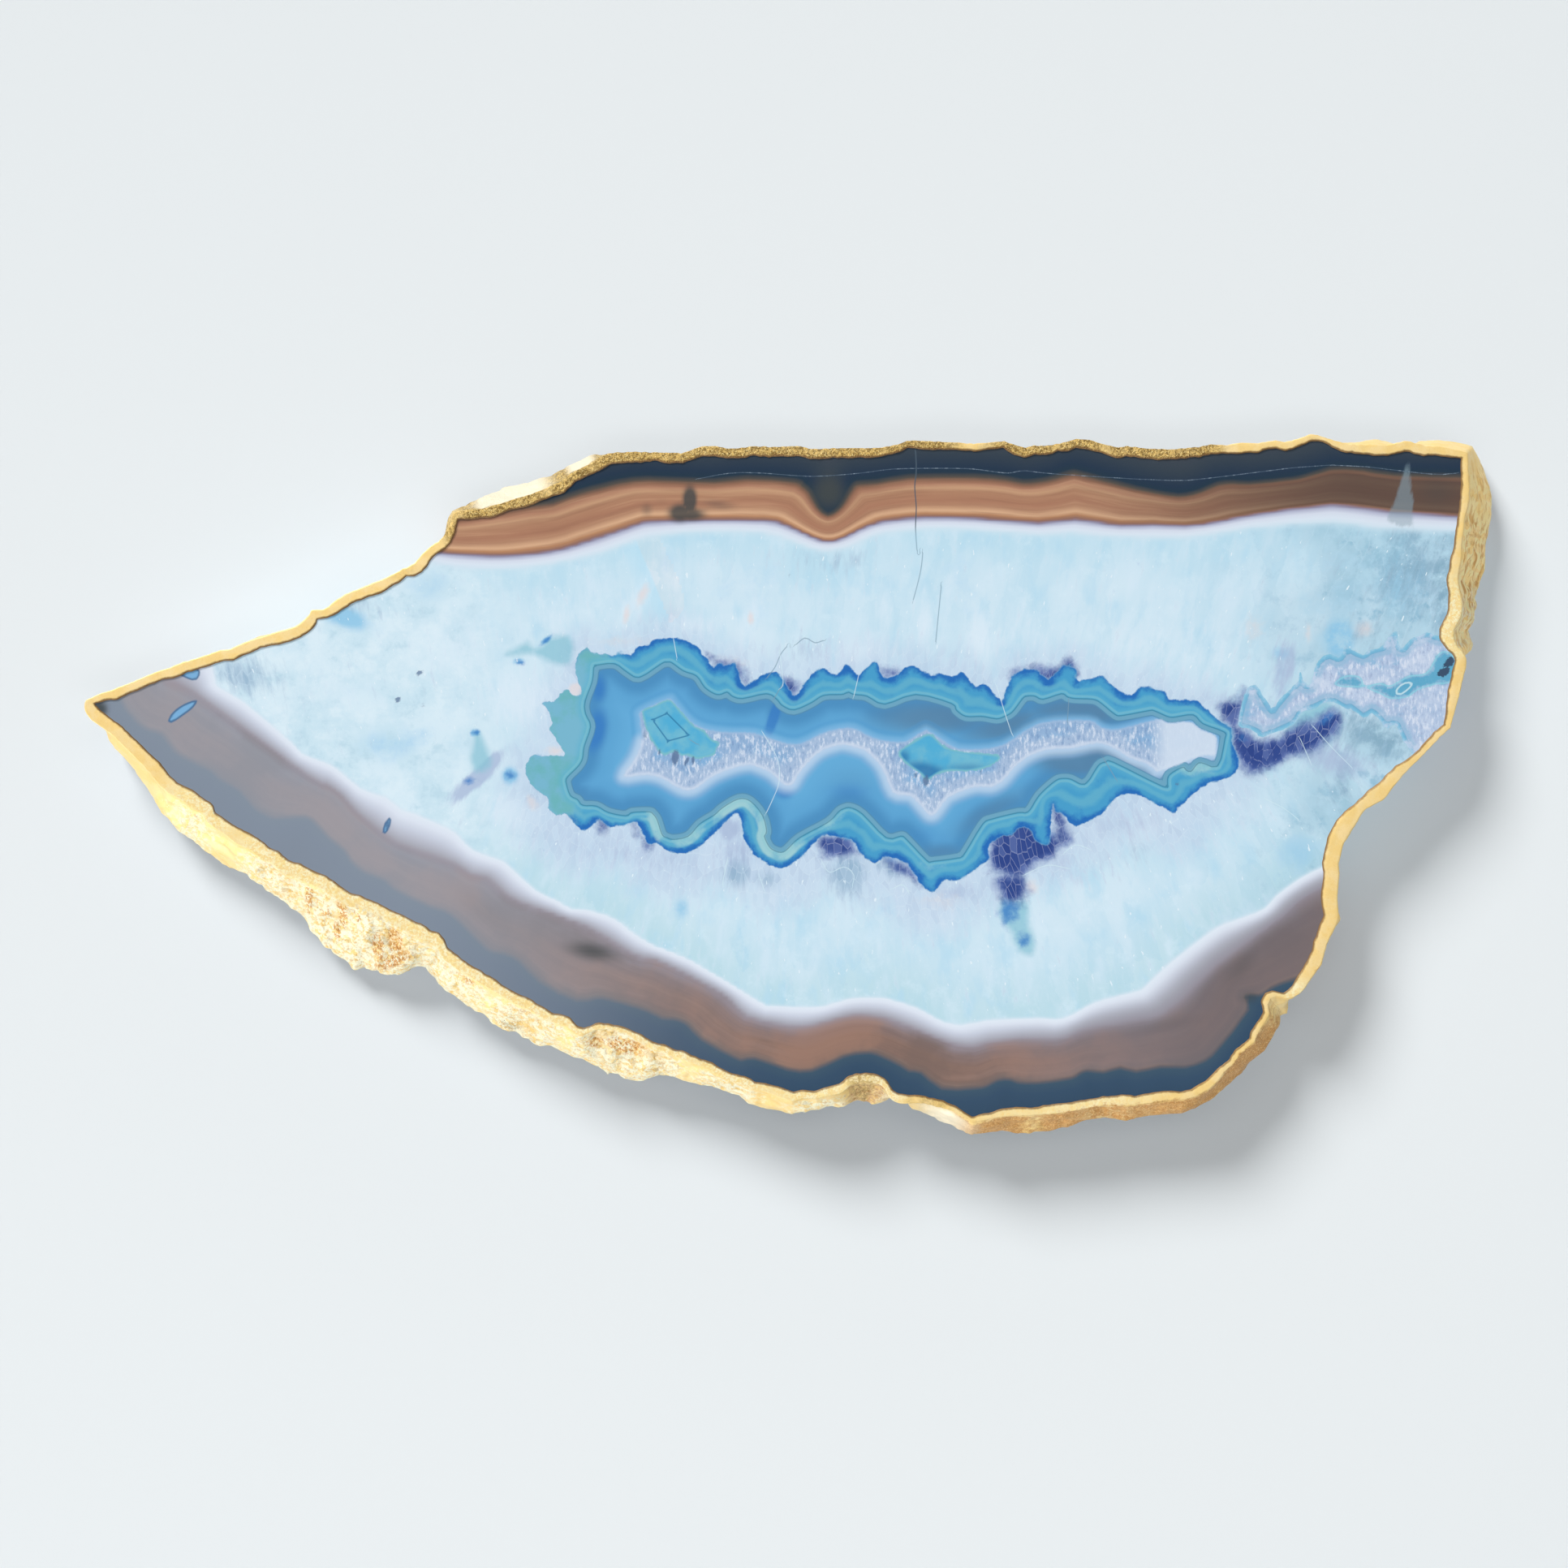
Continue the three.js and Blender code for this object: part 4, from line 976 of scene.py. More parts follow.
    # Masks: name, what is read, where the mask is 0, where it is full, how full
    ranges = (
        ("hazy", "cloud", 0.35, 0.7, 1.0), ("near_upper", "upper_depth", 15.0, 0.0, 0.8),
        ("near_lower", "lower_depth", 18.0, 0.0, 0.9), ("blobs", "blob", 0.48, 0.75, 0.6),
        ("streak_pale", "streak", 0.52, 0.75, 0.55), ("streak_blue", "streak", 0.46, 0.25, 0.35),
        ("cell_pale", "cell", 0.3, 1.0, 0.25), ("cell_blue", "cell", 0.6, 0.0, 0.25),
        ("blob_blue", "blob", 0.5, 0.25, 0.6), ("frost", "wisp", 0.52, 0.72, 0.5),
        ("flecks", "fleck", 0.69, 0.73, 0.9), ("seams", "cell_seam", 0.05, 0.0, 0.4),
        ("shard_dark", "shard", 0.55, 0.15, 0.45), ("shard_light", "shard", 0.6, 0.9, 0.35),
        ("shard_seams", "shard_seam", 0.08, 0.0, 0.35), ("at_left", "x", -60 * MM, -100 * MM, 0.9),
        ("at_right", "x", 100 * MM, 165 * MM, 1.0), ("wisps", "wisp", 0.45, 0.68, 1.0),
        ("low_wisps", "wisp", 0.47, 0.3, 0.8), ("misty", "mist", 0.42, 0.62, 1.0),
        ("azure_on", "azure_cloud", 0.15, 1.1, 0.9), ("pale_on", "pale_cloud", 0.15, 1.0, 0.75),
        ("grey_on", "grey_cloud", 0.15, 1.4, 0.8), ("lilac_on", "lilac_cloud", 0.2, 1.2, 0.8),
        ("dark_on", "dark_cloud", 0.15, 1.1, 0.9), ("deep_on", "deep_cloud", 0.1, 1.0, 0.8),
        ("greyed_on", "greyed", 0.05, 1.0, 0.85), ("halo_on", "halo", -10.0, 1.0, 0.75),
        ("bare_on", "bare_cloud", 0.25, 0.75, 1.0), ("cream_on", "cream_cloud", 0.3, 1.0, 0.7),
        ("rosy_on", "rosy_cloud", 0.2, 1.0, 0.7), ("spot_on", "spot_cloud", 0.2, 1.2, 0.85),
        ("hole_on", "hole_cloud", 0.3, 0.8, 0.8),
        ("inside_core", "edge", -0.15, 0.15, 1.0), ("core_teal", "rim_width", 0.1, 2.0, 1.0),
        ("core_bright", "core_line", -3.0, -0.4, 0.7), ("cream_strip", "core_line", -2.6, -1.8, 1.0),
        ("past_line", "core_line", 0.0, 0.3, 1.0), ("past_second", "core_line", 1.15, 1.6, 1.0),
        ("past_third", "core_line", 2.2, 6.0, 1.0), ("past_fourth", "core_line", 5.0, 11.0, 0.7),
        ("core_rim", "druse_edge", -2.0, 0.1, 0.9), ("in_druse", "druse", -0.35, 0.5, 1.0),
        ("druse_deep", "druse_edge", 0.1, 1.0, 1.0), ("druse_middle", "druse_edge", 2.4, 4.6, 0.7),
        ("low_glow", "druse_low", 1.4, 0.1, 0.8), ("low_fade", "druse_low", 3.4, 0.0, 0.65),
        ("low_far", "druse_low", 3.0, 5.0, 0.8),
        ("lines_light", "upper_lines", 0.5, 0.75, 0.35), ("lines_dark", "upper_lines", 0.5, 0.25, 0.3),
        ("low_light", "lower_lines", 0.5, 0.72, 0.2), ("low_dark", "lower_lines", 0.5, 0.3, 0.2),
        ("druse_right", "x", 93 * MM, 99 * MM, 0.9), ("fur_light", "fur", 0.5, 0.66, 0.9),
        ("fur_dark", "fur", 0.47, 0.3, 0.6), ("specks", "speck", 0.5, 0.66, 0.8),
        ("in_eye", "eye_rim", -0.1, 0.25, 1.0), ("eye_teal", "eyes", 0.2, 1.0, 1.0),
        ("stained", "stain_rim", -1.6, 2.2, 0.95), ("stain_deep", "stain_rim", 0.4, 3.0, 0.85),
        ("sea_on", "sea_rim", -1.2, 1.4, 0.75), ("in_side", "side_rim", -0.15, 0.15, 1.0),
        ("side_strip", "side_druse", 0.9, 1.2, 1.0), ("side_inner", "side_druse", 1.8, 3.0, 1.0),
        ("in_side_teal", "teal_rim", -0.8, 1.0, 0.9), ("in_pit", "pit_rim", -0.1, 0.2, 0.9),
        ("not_white", "upper_band", 1.0, 0.9, 1.0),
        ("brown_upper", "upper_band", 0.05, 0.2, 1.0), ("band_right", "x", 60 * MM, 150 * MM, 0.9),
        ("over_upper", "upper_band", 2.2, 1.9, 1.0), ("over_lower", "lower_band", 2.12, 1.96, 1.0),
        ("low_left_reflection", "x", 5 * MM, -110 * MM, 0.6), ("low_brown", "lower_band", 0.0, 0.1, 1.0),
        ("low_not_white", "lower_band", 1.1, 0.8, 1.0), ("low_pale", "lower_band", 1.95, 1.2, 1.0),
        ("pale_right", "x", 40 * MM, 100 * MM, 0.55), ("pink", "cloud", 0.46, 0.62, 0.5),
        ("dusk", "cloud", 0.48, 0.34, 0.6), ("low_right", "x", 45 * MM, 120 * MM, 0.5),
        ("dark_vein_end", "dark_vein_near", 1.1, 0.7, 1.0),
        ("pale_vein_end", "pale_vein_near", 1.1, 0.7, 1.0),
        ("hairline_end", "hairline_near", 1.0, 0.7, 1.0), ("sparkle", "grain", 0.45, 0.7, 0.8),
        ("shaft_on", "shaft_rim", -0.4, 0.8, 0.5), ("lens_on", "lens", -0.25, 0.2, 0.9),
        ("lens_core", "lens", 0.2, 0.7, 1.0), ("vein_in_band", "upper_depth", 2.0, -2.0, 1.0),
        ("fault_right", "fault", -0.3, 0.5, 1.0), ("fault_close", "fault_near", 12.0, 0.5, 0.5),
    )
    mask = {}
    for name, source, low, high, most in ranges:
        sockets = {"Value": field[source], "From Min": low, "From Max": high, "To Max": most}
        ranged = add(tree, "ShaderNodeMapRange", {"interpolation_type": "SMOOTHSTEP"}, sockets)
        mask[name] = ranged.outputs[0]
    # Thin lines: name, field, where the line lies on it, half width, how strong
    lines = (
        ("dark_vein_on", "dark_vein", 0, 0.22, 0.7), ("pale_vein_on", "pale_vein", 0, 0.17, 0.7),
        ("hairline_on", "hairline", 0, 0.16, 0.55), ("eye_line_on", "eye_line", 0, 0.3, 0.8),
        ("loop_line_on", "side_loop", 0, 0.35, 0.8), ("side_line_on", "side_teal", 0, 0.35, 0.7),
        ("line_pale", "core_line", -0.7, 0.5, 0.4), ("line_dark", "core_line", -0.05, 0.26, 0.65),
        ("line_second", "core_line", 1.3, 0.26, 0.5), ("druse_line", "druse_edge", -1.9, 1.0, 0.35),
        ("stripe", "stripe_wave", 0.5, 0.2, 0.5), ("side_dark", "side_druse", 1.0, 0.25, 0.3),
        ("side_pale", "side_druse", 0.1, 0.5, 0.5), ("edge_pale", "edge", 0.0, 0.3, 0.25),
    )
    for name, source, middle, width, most in lines:
        moved = add(tree, "ShaderNodeMath", {"operation": "SUBTRACT"}, {0: field[source], 1: middle})
        size = add(tree, "ShaderNodeMath", {"operation": "ABSOLUTE"}, {0: moved.outputs[0]})
        sockets = {"Value": size.outputs[0], "From Min": width, "From Max": 0.2 * width,
                   "To Max": most}
        line = add(tree, "ShaderNodeMapRange", {"interpolation_type": "SMOOTHSTEP"}, sockets)
        mask[name] = line.outputs[0]
    # Masks kept to where another one is: new name, mask, mask it is kept to
    joined = (
        ("left_wisps", "wisps", "at_left"), ("left_grey", "low_wisps", "at_left"),
        ("left_mist", "misty", "at_left"), ("right_shade", "hazy", "at_right"),
        ("right_cells", "cell_blue", "at_right"), ("right_seams", "seams", "at_right"),
        ("halo_streaks", "streak_pale", "halo_on"), ("halo_dark", "shard_dark", "halo_on"),
        ("grey_facets", "shard_dark", "grey_on"), ("grey_seams", "shard_seams", "grey_on"),
        ("halo_seams", "shard_seams", "halo_on"),
        ("stain_dark", "shard_dark", "stained"), ("stain_light", "shard_light", "stained"),
        ("stain_seams", "shard_seams", "stained"), ("greyed_in", "greyed_on", "past_second"),
        ("deep_in", "deep_on", "past_second"), ("core_rim_in", "core_rim", "past_second"),
        ("bare_in", "bare_on", "inside_core"), ("bare_green", "misty", "bare_in"),
        ("stripe_in", "stripe", "inside_core"), ("cream_in", "cream_on", "cream_strip"),
        ("druse_line_in", "druse_line", "past_third"), ("druse_light", "fur_light", "druse_deep"),
        ("druse_dark", "fur_dark", "druse_deep"), ("druse_blue", "druse_middle", "misty"),
        ("druse_tip", "druse_right", "in_druse"), ("eye_teal_in", "eye_teal", "in_eye"),
        ("side_strip_in", "side_strip", "in_side"), ("side_inner_in", "side_inner", "in_side"),
        ("side_specks", "fur_dark", "side_inner_in"), ("side_light", "fur_light", "side_inner_in"),
        ("side_dark_in", "side_dark", "in_side"), ("side_pale_in", "side_pale", "in_side"),
        ("upper_brown_in", "brown_upper", "not_white"), ("low_left_reflection_in", "low_left_reflection", "low_not_white"),
        ("right_brown", "upper_brown_in", "band_right"), ("low_brown_in", "low_brown", "low_not_white"),
        ("lines_light_in", "lines_light", "upper_brown_in"),
        ("lines_dark_in", "lines_dark", "upper_brown_in"), ("low_light_in", "low_light", "low_brown_in"),
        ("low_dark_in", "low_dark", "low_brown_in"), ("low_glow_in", "low_fade", "past_second"),
        ("druse_glow", "low_glow", "in_druse"), ("right_wisps", "wisps", "at_right"),
        ("right_blue", "low_wisps", "at_right"), ("right_steel", "grey_on", "at_right"),
        ("side_blue", "low_wisps", "in_side"), ("side_white", "wisps", "in_side"),
        ("druse_upper", "druse_deep", "low_far"), ("eye_deep", "deep_on", "eye_teal_in"),
        ("eye_mist", "misty", "eye_teal_in"),
        ("core_mottle", "low_wisps", "core_teal"),
        ("low_pale_in", "low_pale", "pale_right"),
        ("low_pale_in_band", "low_pale_in", "low_brown"), ("pink_in", "pink", "low_brown_in"), ("dusk_in", "dusk", "low_brown_in"),
        ("low_right_in", "low_right", "low_brown_in"), ("dark_vein_in", "dark_vein_on", "dark_vein_end"),
        ("pale_vein_in", "pale_vein_on", "pale_vein_end"), ("band_vein", "dark_vein_in", "vein_in_band"),
        ("hairline_in", "hairline_on", "hairline_end"), ("bright_hair", "hairline_in", "sparkle"),
        ("fault_blue", "fault_right", "fault_close"),
    )
    for name, first, second in joined:
        sockets = {0: mask[first], 1: mask[second]}
        both = add(tree, "ShaderNodeMath", {"operation": "MULTIPLY"}, sockets)
        mask[name] = both.outputs[0]

    # Bands along the two sides, as ramps over their running numbers
    ramps = (
        ("upper_band", "upper_wave", (
            (-1.2, "#454B54"), (-0.6, "#37434F"), (-0.2, "upper_dark"), (-0.06, "#25394A"),
            (0.05, "#54504B"), (0.14, "#8F6955"), (0.22, "#B2836A"), (0.31, "#C69C7B"),
            (0.4, "#B28569"), (0.6, "upper_brown"), (0.72, "#B68A6E"), (0.83, "#DBB08D"),
            (0.9, "#B98865"), (0.97, "#936F65"), (1.06, "#8F88A0"), (1.18, "#B4B8D0"),
            (1.45, "#D8E0EF"), (1.75, "white_band"), (2.1, "#D0E6F3"),
        )),
        ("lower_band", "lower_wave", (
            (-1.5, "#2C4257"), (-0.3, "lower_dark"), (-0.06, "#40586C"), (0.06, "#776A66"),
            (0.2, "#8C7268"), (0.5, "lower_brown"), (0.75, "#877574"), (0.95, "#989099"),
            (1.2, "#B0B2BF"), (1.55, "#CCD3E2"), (1.8, "#DFE7F4"), (1.97, "#E3EDF8"),
            (2.08, "#D5E6F3"),
        )),
    )
    bands = {}
    for name, source, stops in ramps:
        low = stops[0][0]
        high = stops[-1][0]
        sockets = {"Value": field[source], "From Min": low, "From Max": high}
        spread = add(tree, "ShaderNodeMapRange", sockets=sockets)
        ramp = add(tree, "ShaderNodeValToRGB", sockets={0: spread.outputs[0]})
        elements = ramp.color_ramp.elements
        elements[0].position = 0.0
        elements[0].color = tint(settings, stops[0][1])
        elements[1].position = 1.0
        elements[1].color = tint(settings, stops[-1][1])
        for value, shade in stops[1:-1]:
            element = elements.new((value - low) / (high - low))
            element.color = tint(settings, shade)
        bands[name] = ramp.outputs[0]

    # Everything is laid over the pale crystal, from first to last: mask, colour
    layers = (
        ("hazy", "#DFEDF6"), ("near_upper", "#C1E0EE"), ("near_lower", "#BEDCE3"),
        ("cell_pale", "#E4EFF8"), ("cell_blue", "#BADAEB"), ("blobs", "#E4EFF9"),
        ("blob_blue", "#B3DAEE"),
        ("streak_pale", "#EAF2FA"), ("streak_blue", "#B9D9EC"), ("frost", "#E8F4FC"),
        ("at_left", "#D8EAF3"),
        ("left_mist", "#E6F2F9"), ("left_grey", "#BCD7E4"), ("left_wisps", "#EDF6FB"),
        ("right_shade", "#8CB6CB"), ("right_cells", "#7BA5BC"), ("right_blue", "#74A6C4"),
        ("right_seams", "#CFE2EE"),
        ("halo_on", "#CCD5EA"), ("halo_dark", "#B4BFDA"), ("halo_streaks", "#E9EEF9"),
        ("halo_seams", "#F2F6FC"),
        ("azure_on", "#7FBEE4"), ("grey_on", "#93AAC6"), ("grey_facets", "#6584AC"),
        ("grey_seams", "#EAF1FA"), ("right_steel", "#6E93A9"), ("right_wisps", "#BAD7E6"),
        ("pale_on", "#EEF4FC"),
        ("lilac_on", "#A7ABCF"), ("flecks", "#F7FBFF"), ("fault_blue", "#B4E4FA"),
        ("rosy_on", "#E7DCDD"), ("sea_on", "#88C5D8"),
        ("stained", "stain"), ("stain_deep", "#2C448A"), ("stain_dark", "#2C4286"),
        ("stain_light", "#7C90C6"), ("stain_seams", "#BCC6E4"), ("spot_on", "#3A80C8"),
        ("inside_core", "core_rim"), ("core_teal", "core_teal"), ("core_mottle", "#3A8CC8"),
        ("stripe_in", "#72BDD0"),
        ("bare_in", "#7AB9D2"), ("bare_green", "#6FB6BE"), ("edge_pale", "#8CC3DC"),
        ("core_bright", "#60B3D2"), ("cream_in", "#B4DCDB"), ("line_pale", "#8CC8D2"),
        ("past_line", "#6FA8C4"), ("line_dark", "#3C7792"), ("past_second", "#4F92C4"),
        ("line_second", "#3F7BA6"), ("past_third", "core"), ("past_fourth", "#6AB2DF"),
        ("greyed_in", "#5A85A8"), ("deep_in", "#3A7DC6"), ("druse_line_in", "#559CD2"),
        ("core_rim_in", "#80B8E2"), ("low_glow_in", "#CCDEF2"), ("in_druse", "druse"),
        ("druse_deep", "#A8C0DE"), ("druse_upper", "#8FB2D8"), ("druse_blue", "#7FB3DE"),
        ("druse_light", "#D6E2F3"), ("druse_dark", "#7292C2"), ("druse_glow", "#DAE4F4"),
        ("druse_tip", "#D3E2F3"), ("in_eye", "#7FBFCC"), ("eye_teal_in", "#54B0D9"),
        ("eye_mist", "#74BDD6"), ("eye_deep", "#2A70AC"),
        ("eye_line_on", "#2F78A8"), ("in_side", "#76B9DA"), ("side_pale_in", "#93CFE6"),
        ("side_strip_in", "#9DC0DD"), ("side_dark_in", "#5B94BC"), ("side_inner_in", "#B4C8E4"),
        ("side_blue", "#86B8DC"), ("side_white", "#CBD9EE"), ("side_specks", "#94A7CC"),
        ("side_light", "#DCE5F5"), ("in_side_teal", "#55A9CC"),
        ("side_line_on", "#8ED3E4"), ("loop_line_on", "#CFEAF2"), ("in_pit", "#38425C"),
        ("hole_on", "#5A7398"),
    )
    over_bands = (
        ("lines_light_in", "#D0A482"), ("lines_dark_in", "#8C6350"), ("low_light_in", "#A68B80"),
        ("low_dark_in", "#6F5C58"), ("right_brown", "#564741"), ("pink_in", "#A88270"), ("dusk_in", "#786660"),
        # The pale grey-blue laid over the curved side's bands towards the left end is a painted reflection of the
        # lamps on the polished face
        ("low_pale_in_band", "#8E8A94"), ("low_right_in", "#5F5656"), ("low_left_reflection_in", "#A3ADBB"), ("dark_on", "#444A4B"),
        ("shaft_on", "#88A0AC"), ("lens_on", "#3F6E99"), ("lens_core", "#7DB2DC"),
        ("hairline_in", "#5A6E83"), ("bright_hair", "#B9CCDC"), ("dark_vein_in", "#7C9DB4"), ("band_vein", "#2C2A30"),
        ("pale_vein_in", "#D5ECF5"),
    )
    blend = {"data_type": "RGBA", "blend_type": "MIX"}
    colour = tint(settings, "crystal")
    for name, shade in layers:
        sockets = {0: mask[name], 6: colour, 7: tint(settings, shade)}
        colour = add(tree, "ShaderNodeMix", blend, sockets).outputs[2]
    for name, cover in (("upper_band", "over_upper"), ("lower_band", "over_lower")):
        mixed = add(tree, "ShaderNodeMix", blend, {0: mask[cover], 6: colour, 7: bands[name]})
        colour = mixed.outputs[2]
    for name, shade in over_bands:
        sockets = {0: mask[name], 6: colour, 7: tint(settings, shade)}
        colour = add(tree, "ShaderNodeMix", blend, sockets).outputs[2]

    bump = add(tree, "ShaderNodeBump", sockets={"Strength": 0.05, "Distance": 0.1 * MM,
                                                "Height": field["wisp"]})
    shader = add(tree, "ShaderNodeBsdfPrincipled", sockets={
        "Base Color": colour, "Roughness": 0.12, "IOR": 1.54, "Normal": bump.outputs[0]})
    tree.links.new(shader.outputs[0], output.inputs[0])
    return material


def gilding_shape(settings):
    """The gilding as one closed section carried round the slice. The section climbs from the gold line
    over the lap, falls down the side wall on the CAD outlines and returns inside the stone. Lumps,
    pits and ridges move the wall in and out by noise whose strength follows the rough places.
    Returns corners in millimetres, quads and the fields of the surface."""
    count = settings.stations
    line = resampled(ring("gilded_rim", 19.9), count)
    place = np.column_stack([line, np.zeros(count)])
    direction = outward(line, 9)
    wiggle = (lumps(place, 3.0, 11) - 0.5) * 0.4 + (lumps(place, 1.2, 12) - 0.5) * 0.3
    line = line + direction * wiggle[:, None]
    lap = reach(line, direction, ring("gilded_rim", 20.0)) / 0.6
    lap = np.clip(softened(lap, 2), 1.2, 8)
    heights = np.array([19.5, 16.0, 12.0, 8.0, 4.5, 0.0])
    walls = [lap]
    for height in heights[1:]:
        walls.append(softened(reach(line, direction, ring("agate_slab", height)), 1) + 0.8)
    walls = np.array(walls)
    face = settings.face_height / MM
    top = settings.top_height / MM
    shares = np.array([0.0, 0.012, 0.05, 0.15, 0.3, 0.45, 0.6, 0.75, 0.88, 0.96, 1.0])
    rise = np.interp(shares, [0, 0.012, 0.05, 0.15, 0.6, 0.96, 1.0],
                     [-0.25, 0.15, 0.36, 0.42, 0.45, 0.43, 0.33])
    across = [lap * share for share in shares]
    levels = [np.full(count, min(face + lift, top)) for lift in rise]
    drop = np.linspace(19.35, 0.4, settings.wall_rows)
    inner = ((0.4, 1.6), (4.5, 2.5), (8.0, 2.5), (12.0, 2.5), (16.0, 2.5), (18.7, 1.2))
    falls = [(level, 0.0) for level in drop] + list(inner)
    for level, behind in falls:
        share = np.interp(level, heights[::-1], np.arange(len(heights))[::-1])
        low = int(np.floor(min(share, len(heights) - 1.001)))
        part = share - low
        across.append(walls[low] * (1 - part) + walls[low + 1] * part - behind)
        levels.append(np.full(count, level))
    across.append(lap * 0.3)
    levels.append(np.full(count, 18.9))
    across = np.array(across).T
    levels = np.array(levels).T
    flat = line[:, None, :] + direction[:, None, :] * across[..., None]
    points = np.concatenate([flat, levels[..., None]], axis=-1)
    spot = line + direction * (walls.max(0) * 0.6)[:, None]
    lump_here = patches(spot, LUMP_PLACES)[:, None]
    amber_shade_here = patches(spot, AMBER_SHADE_PLACES)[:, None]
    grit_here = patches(spot, GRIT_PLACES)[:, None]
    ridge_here = patches(spot, RIDGE_PLACES)[:, None]
    outer = np.zeros(points.shape[1])
    first_wall = len(shares)
    last_wall = first_wall + settings.wall_rows
    outer[first_wall:last_wall] = 1.0
    outer[first_wall:first_wall + 2] = (0.45, 0.8)
    outer[first_wall - 1] = 0.3
    outer[last_wall - 1] = 0.5
    coarse = lumps(points, 8.0, 21) - 0.5
    medium = lumps(points, 3.4, 22) - 0.5
    fine = lumps(points, 1.7, 23) - 0.5
    chips = np.abs(lumps(points, 2.8, 24) - 0.5) * 2
    squashed = points * np.array([1.0, 1.0, 3.0])
    ridges = lumps(squashed, 4.0, 25) - 0.5
    strength = 0.3 + lump_here
    move = coarse * 1.6 * strength + medium * 1.3 * strength + fine * 0.9 * strength
    move = move - np.clip(0.2 - chips, 0, 1) * 2.0 * lump_here
    move = move + ridges * 1.5 * (0.25 + ridge_here)
    move = move + grit_here * fine * 0.5
    move = np.clip(move, -1.2, 2.0) * outer
    points[..., :2] += direction[:, None, :] * move[..., None]
    flow = outer * (0.2 + 0.45 * lump_here)
    points[..., 2] += (lumps(points + 40, 2.2, 26) - 0.5) * flow
    lap_part = np.zeros(points.shape[1])
    lap_part[2:first_wall - 1] = 1.0
    dents = (lumps(points, 2.6, 27) - 0.5) * 0.1 + (lumps(points, 1.0, 28) - 0.5) * 0.08
    points[..., 2] += dents * lap_part * (0.8 + 1.5 * grit_here)
    points[..., 2] = np.clip(points[..., 2], 0.4, top)
    # Where a corner is seen on the plane of the face: its way from the view point, stretched
    spread = (VIEW_HEIGHT - face) / (VIEW_HEIGHT - points[..., 2:])
    seen = VIEW_POINT + (points[..., :2] - VIEW_POINT) * spread
    half = np.array([CAD_BOX[1][0], CAD_BOX[1][1]]) / MM
    points[..., :2] = np.clip(points[..., :2], -half - 0.6, half + 0.6)
    around = np.arange(count)[:, None]
    step = np.arange(points.shape[1])[None, :]
    columns = points.shape[1]
    here = around * columns + step
    beside = (around + 1) % count * columns + step
    here_next = around * columns + (step + 1) % columns
    beside_next = (around + 1) % count * columns + (step + 1) % columns
    quads = np.stack([here, here_next, beside_next, beside], -1).reshape(-1, 4)
    spread = np.ones((1, columns))
    # How far the wall's roughness and colour reach over the lap
    over_lap = np.maximum(outer, np.append(np.linspace(-0.3, 0.5, first_wall), outer[first_wall:]))
    fields = {
        "lump": (lump_here * over_lap).ravel(),
        "lap": (np.clip(lump_here, 0, 1) * lap_part).ravel(),
        "from_line": np.where(step < first_wall, across, 3).clip(0, 3).ravel(),
        "grit": (grit_here * spread).ravel(),
        "ridge": (ridge_here * spread * outer[None, :]).ravel(),
        "painted_highlight": (patches(spot, PAINTED_HIGHLIGHT_PLACES)[:, None] * outer[None, :]).ravel(),
        "hollow": np.clip(-move, 0, 2).ravel(),
        "pits": patches(seen.reshape(-1, 2), PIT_PLACES) * np.tile(outer, count),
        "amber_shade": (amber_shade_here * over_lap).ravel(),
        "lap_share": np.where(step < first_wall, across / lap[:, None], 3).ravel(),
    }
    return points.reshape(-1, 3), quads, fields


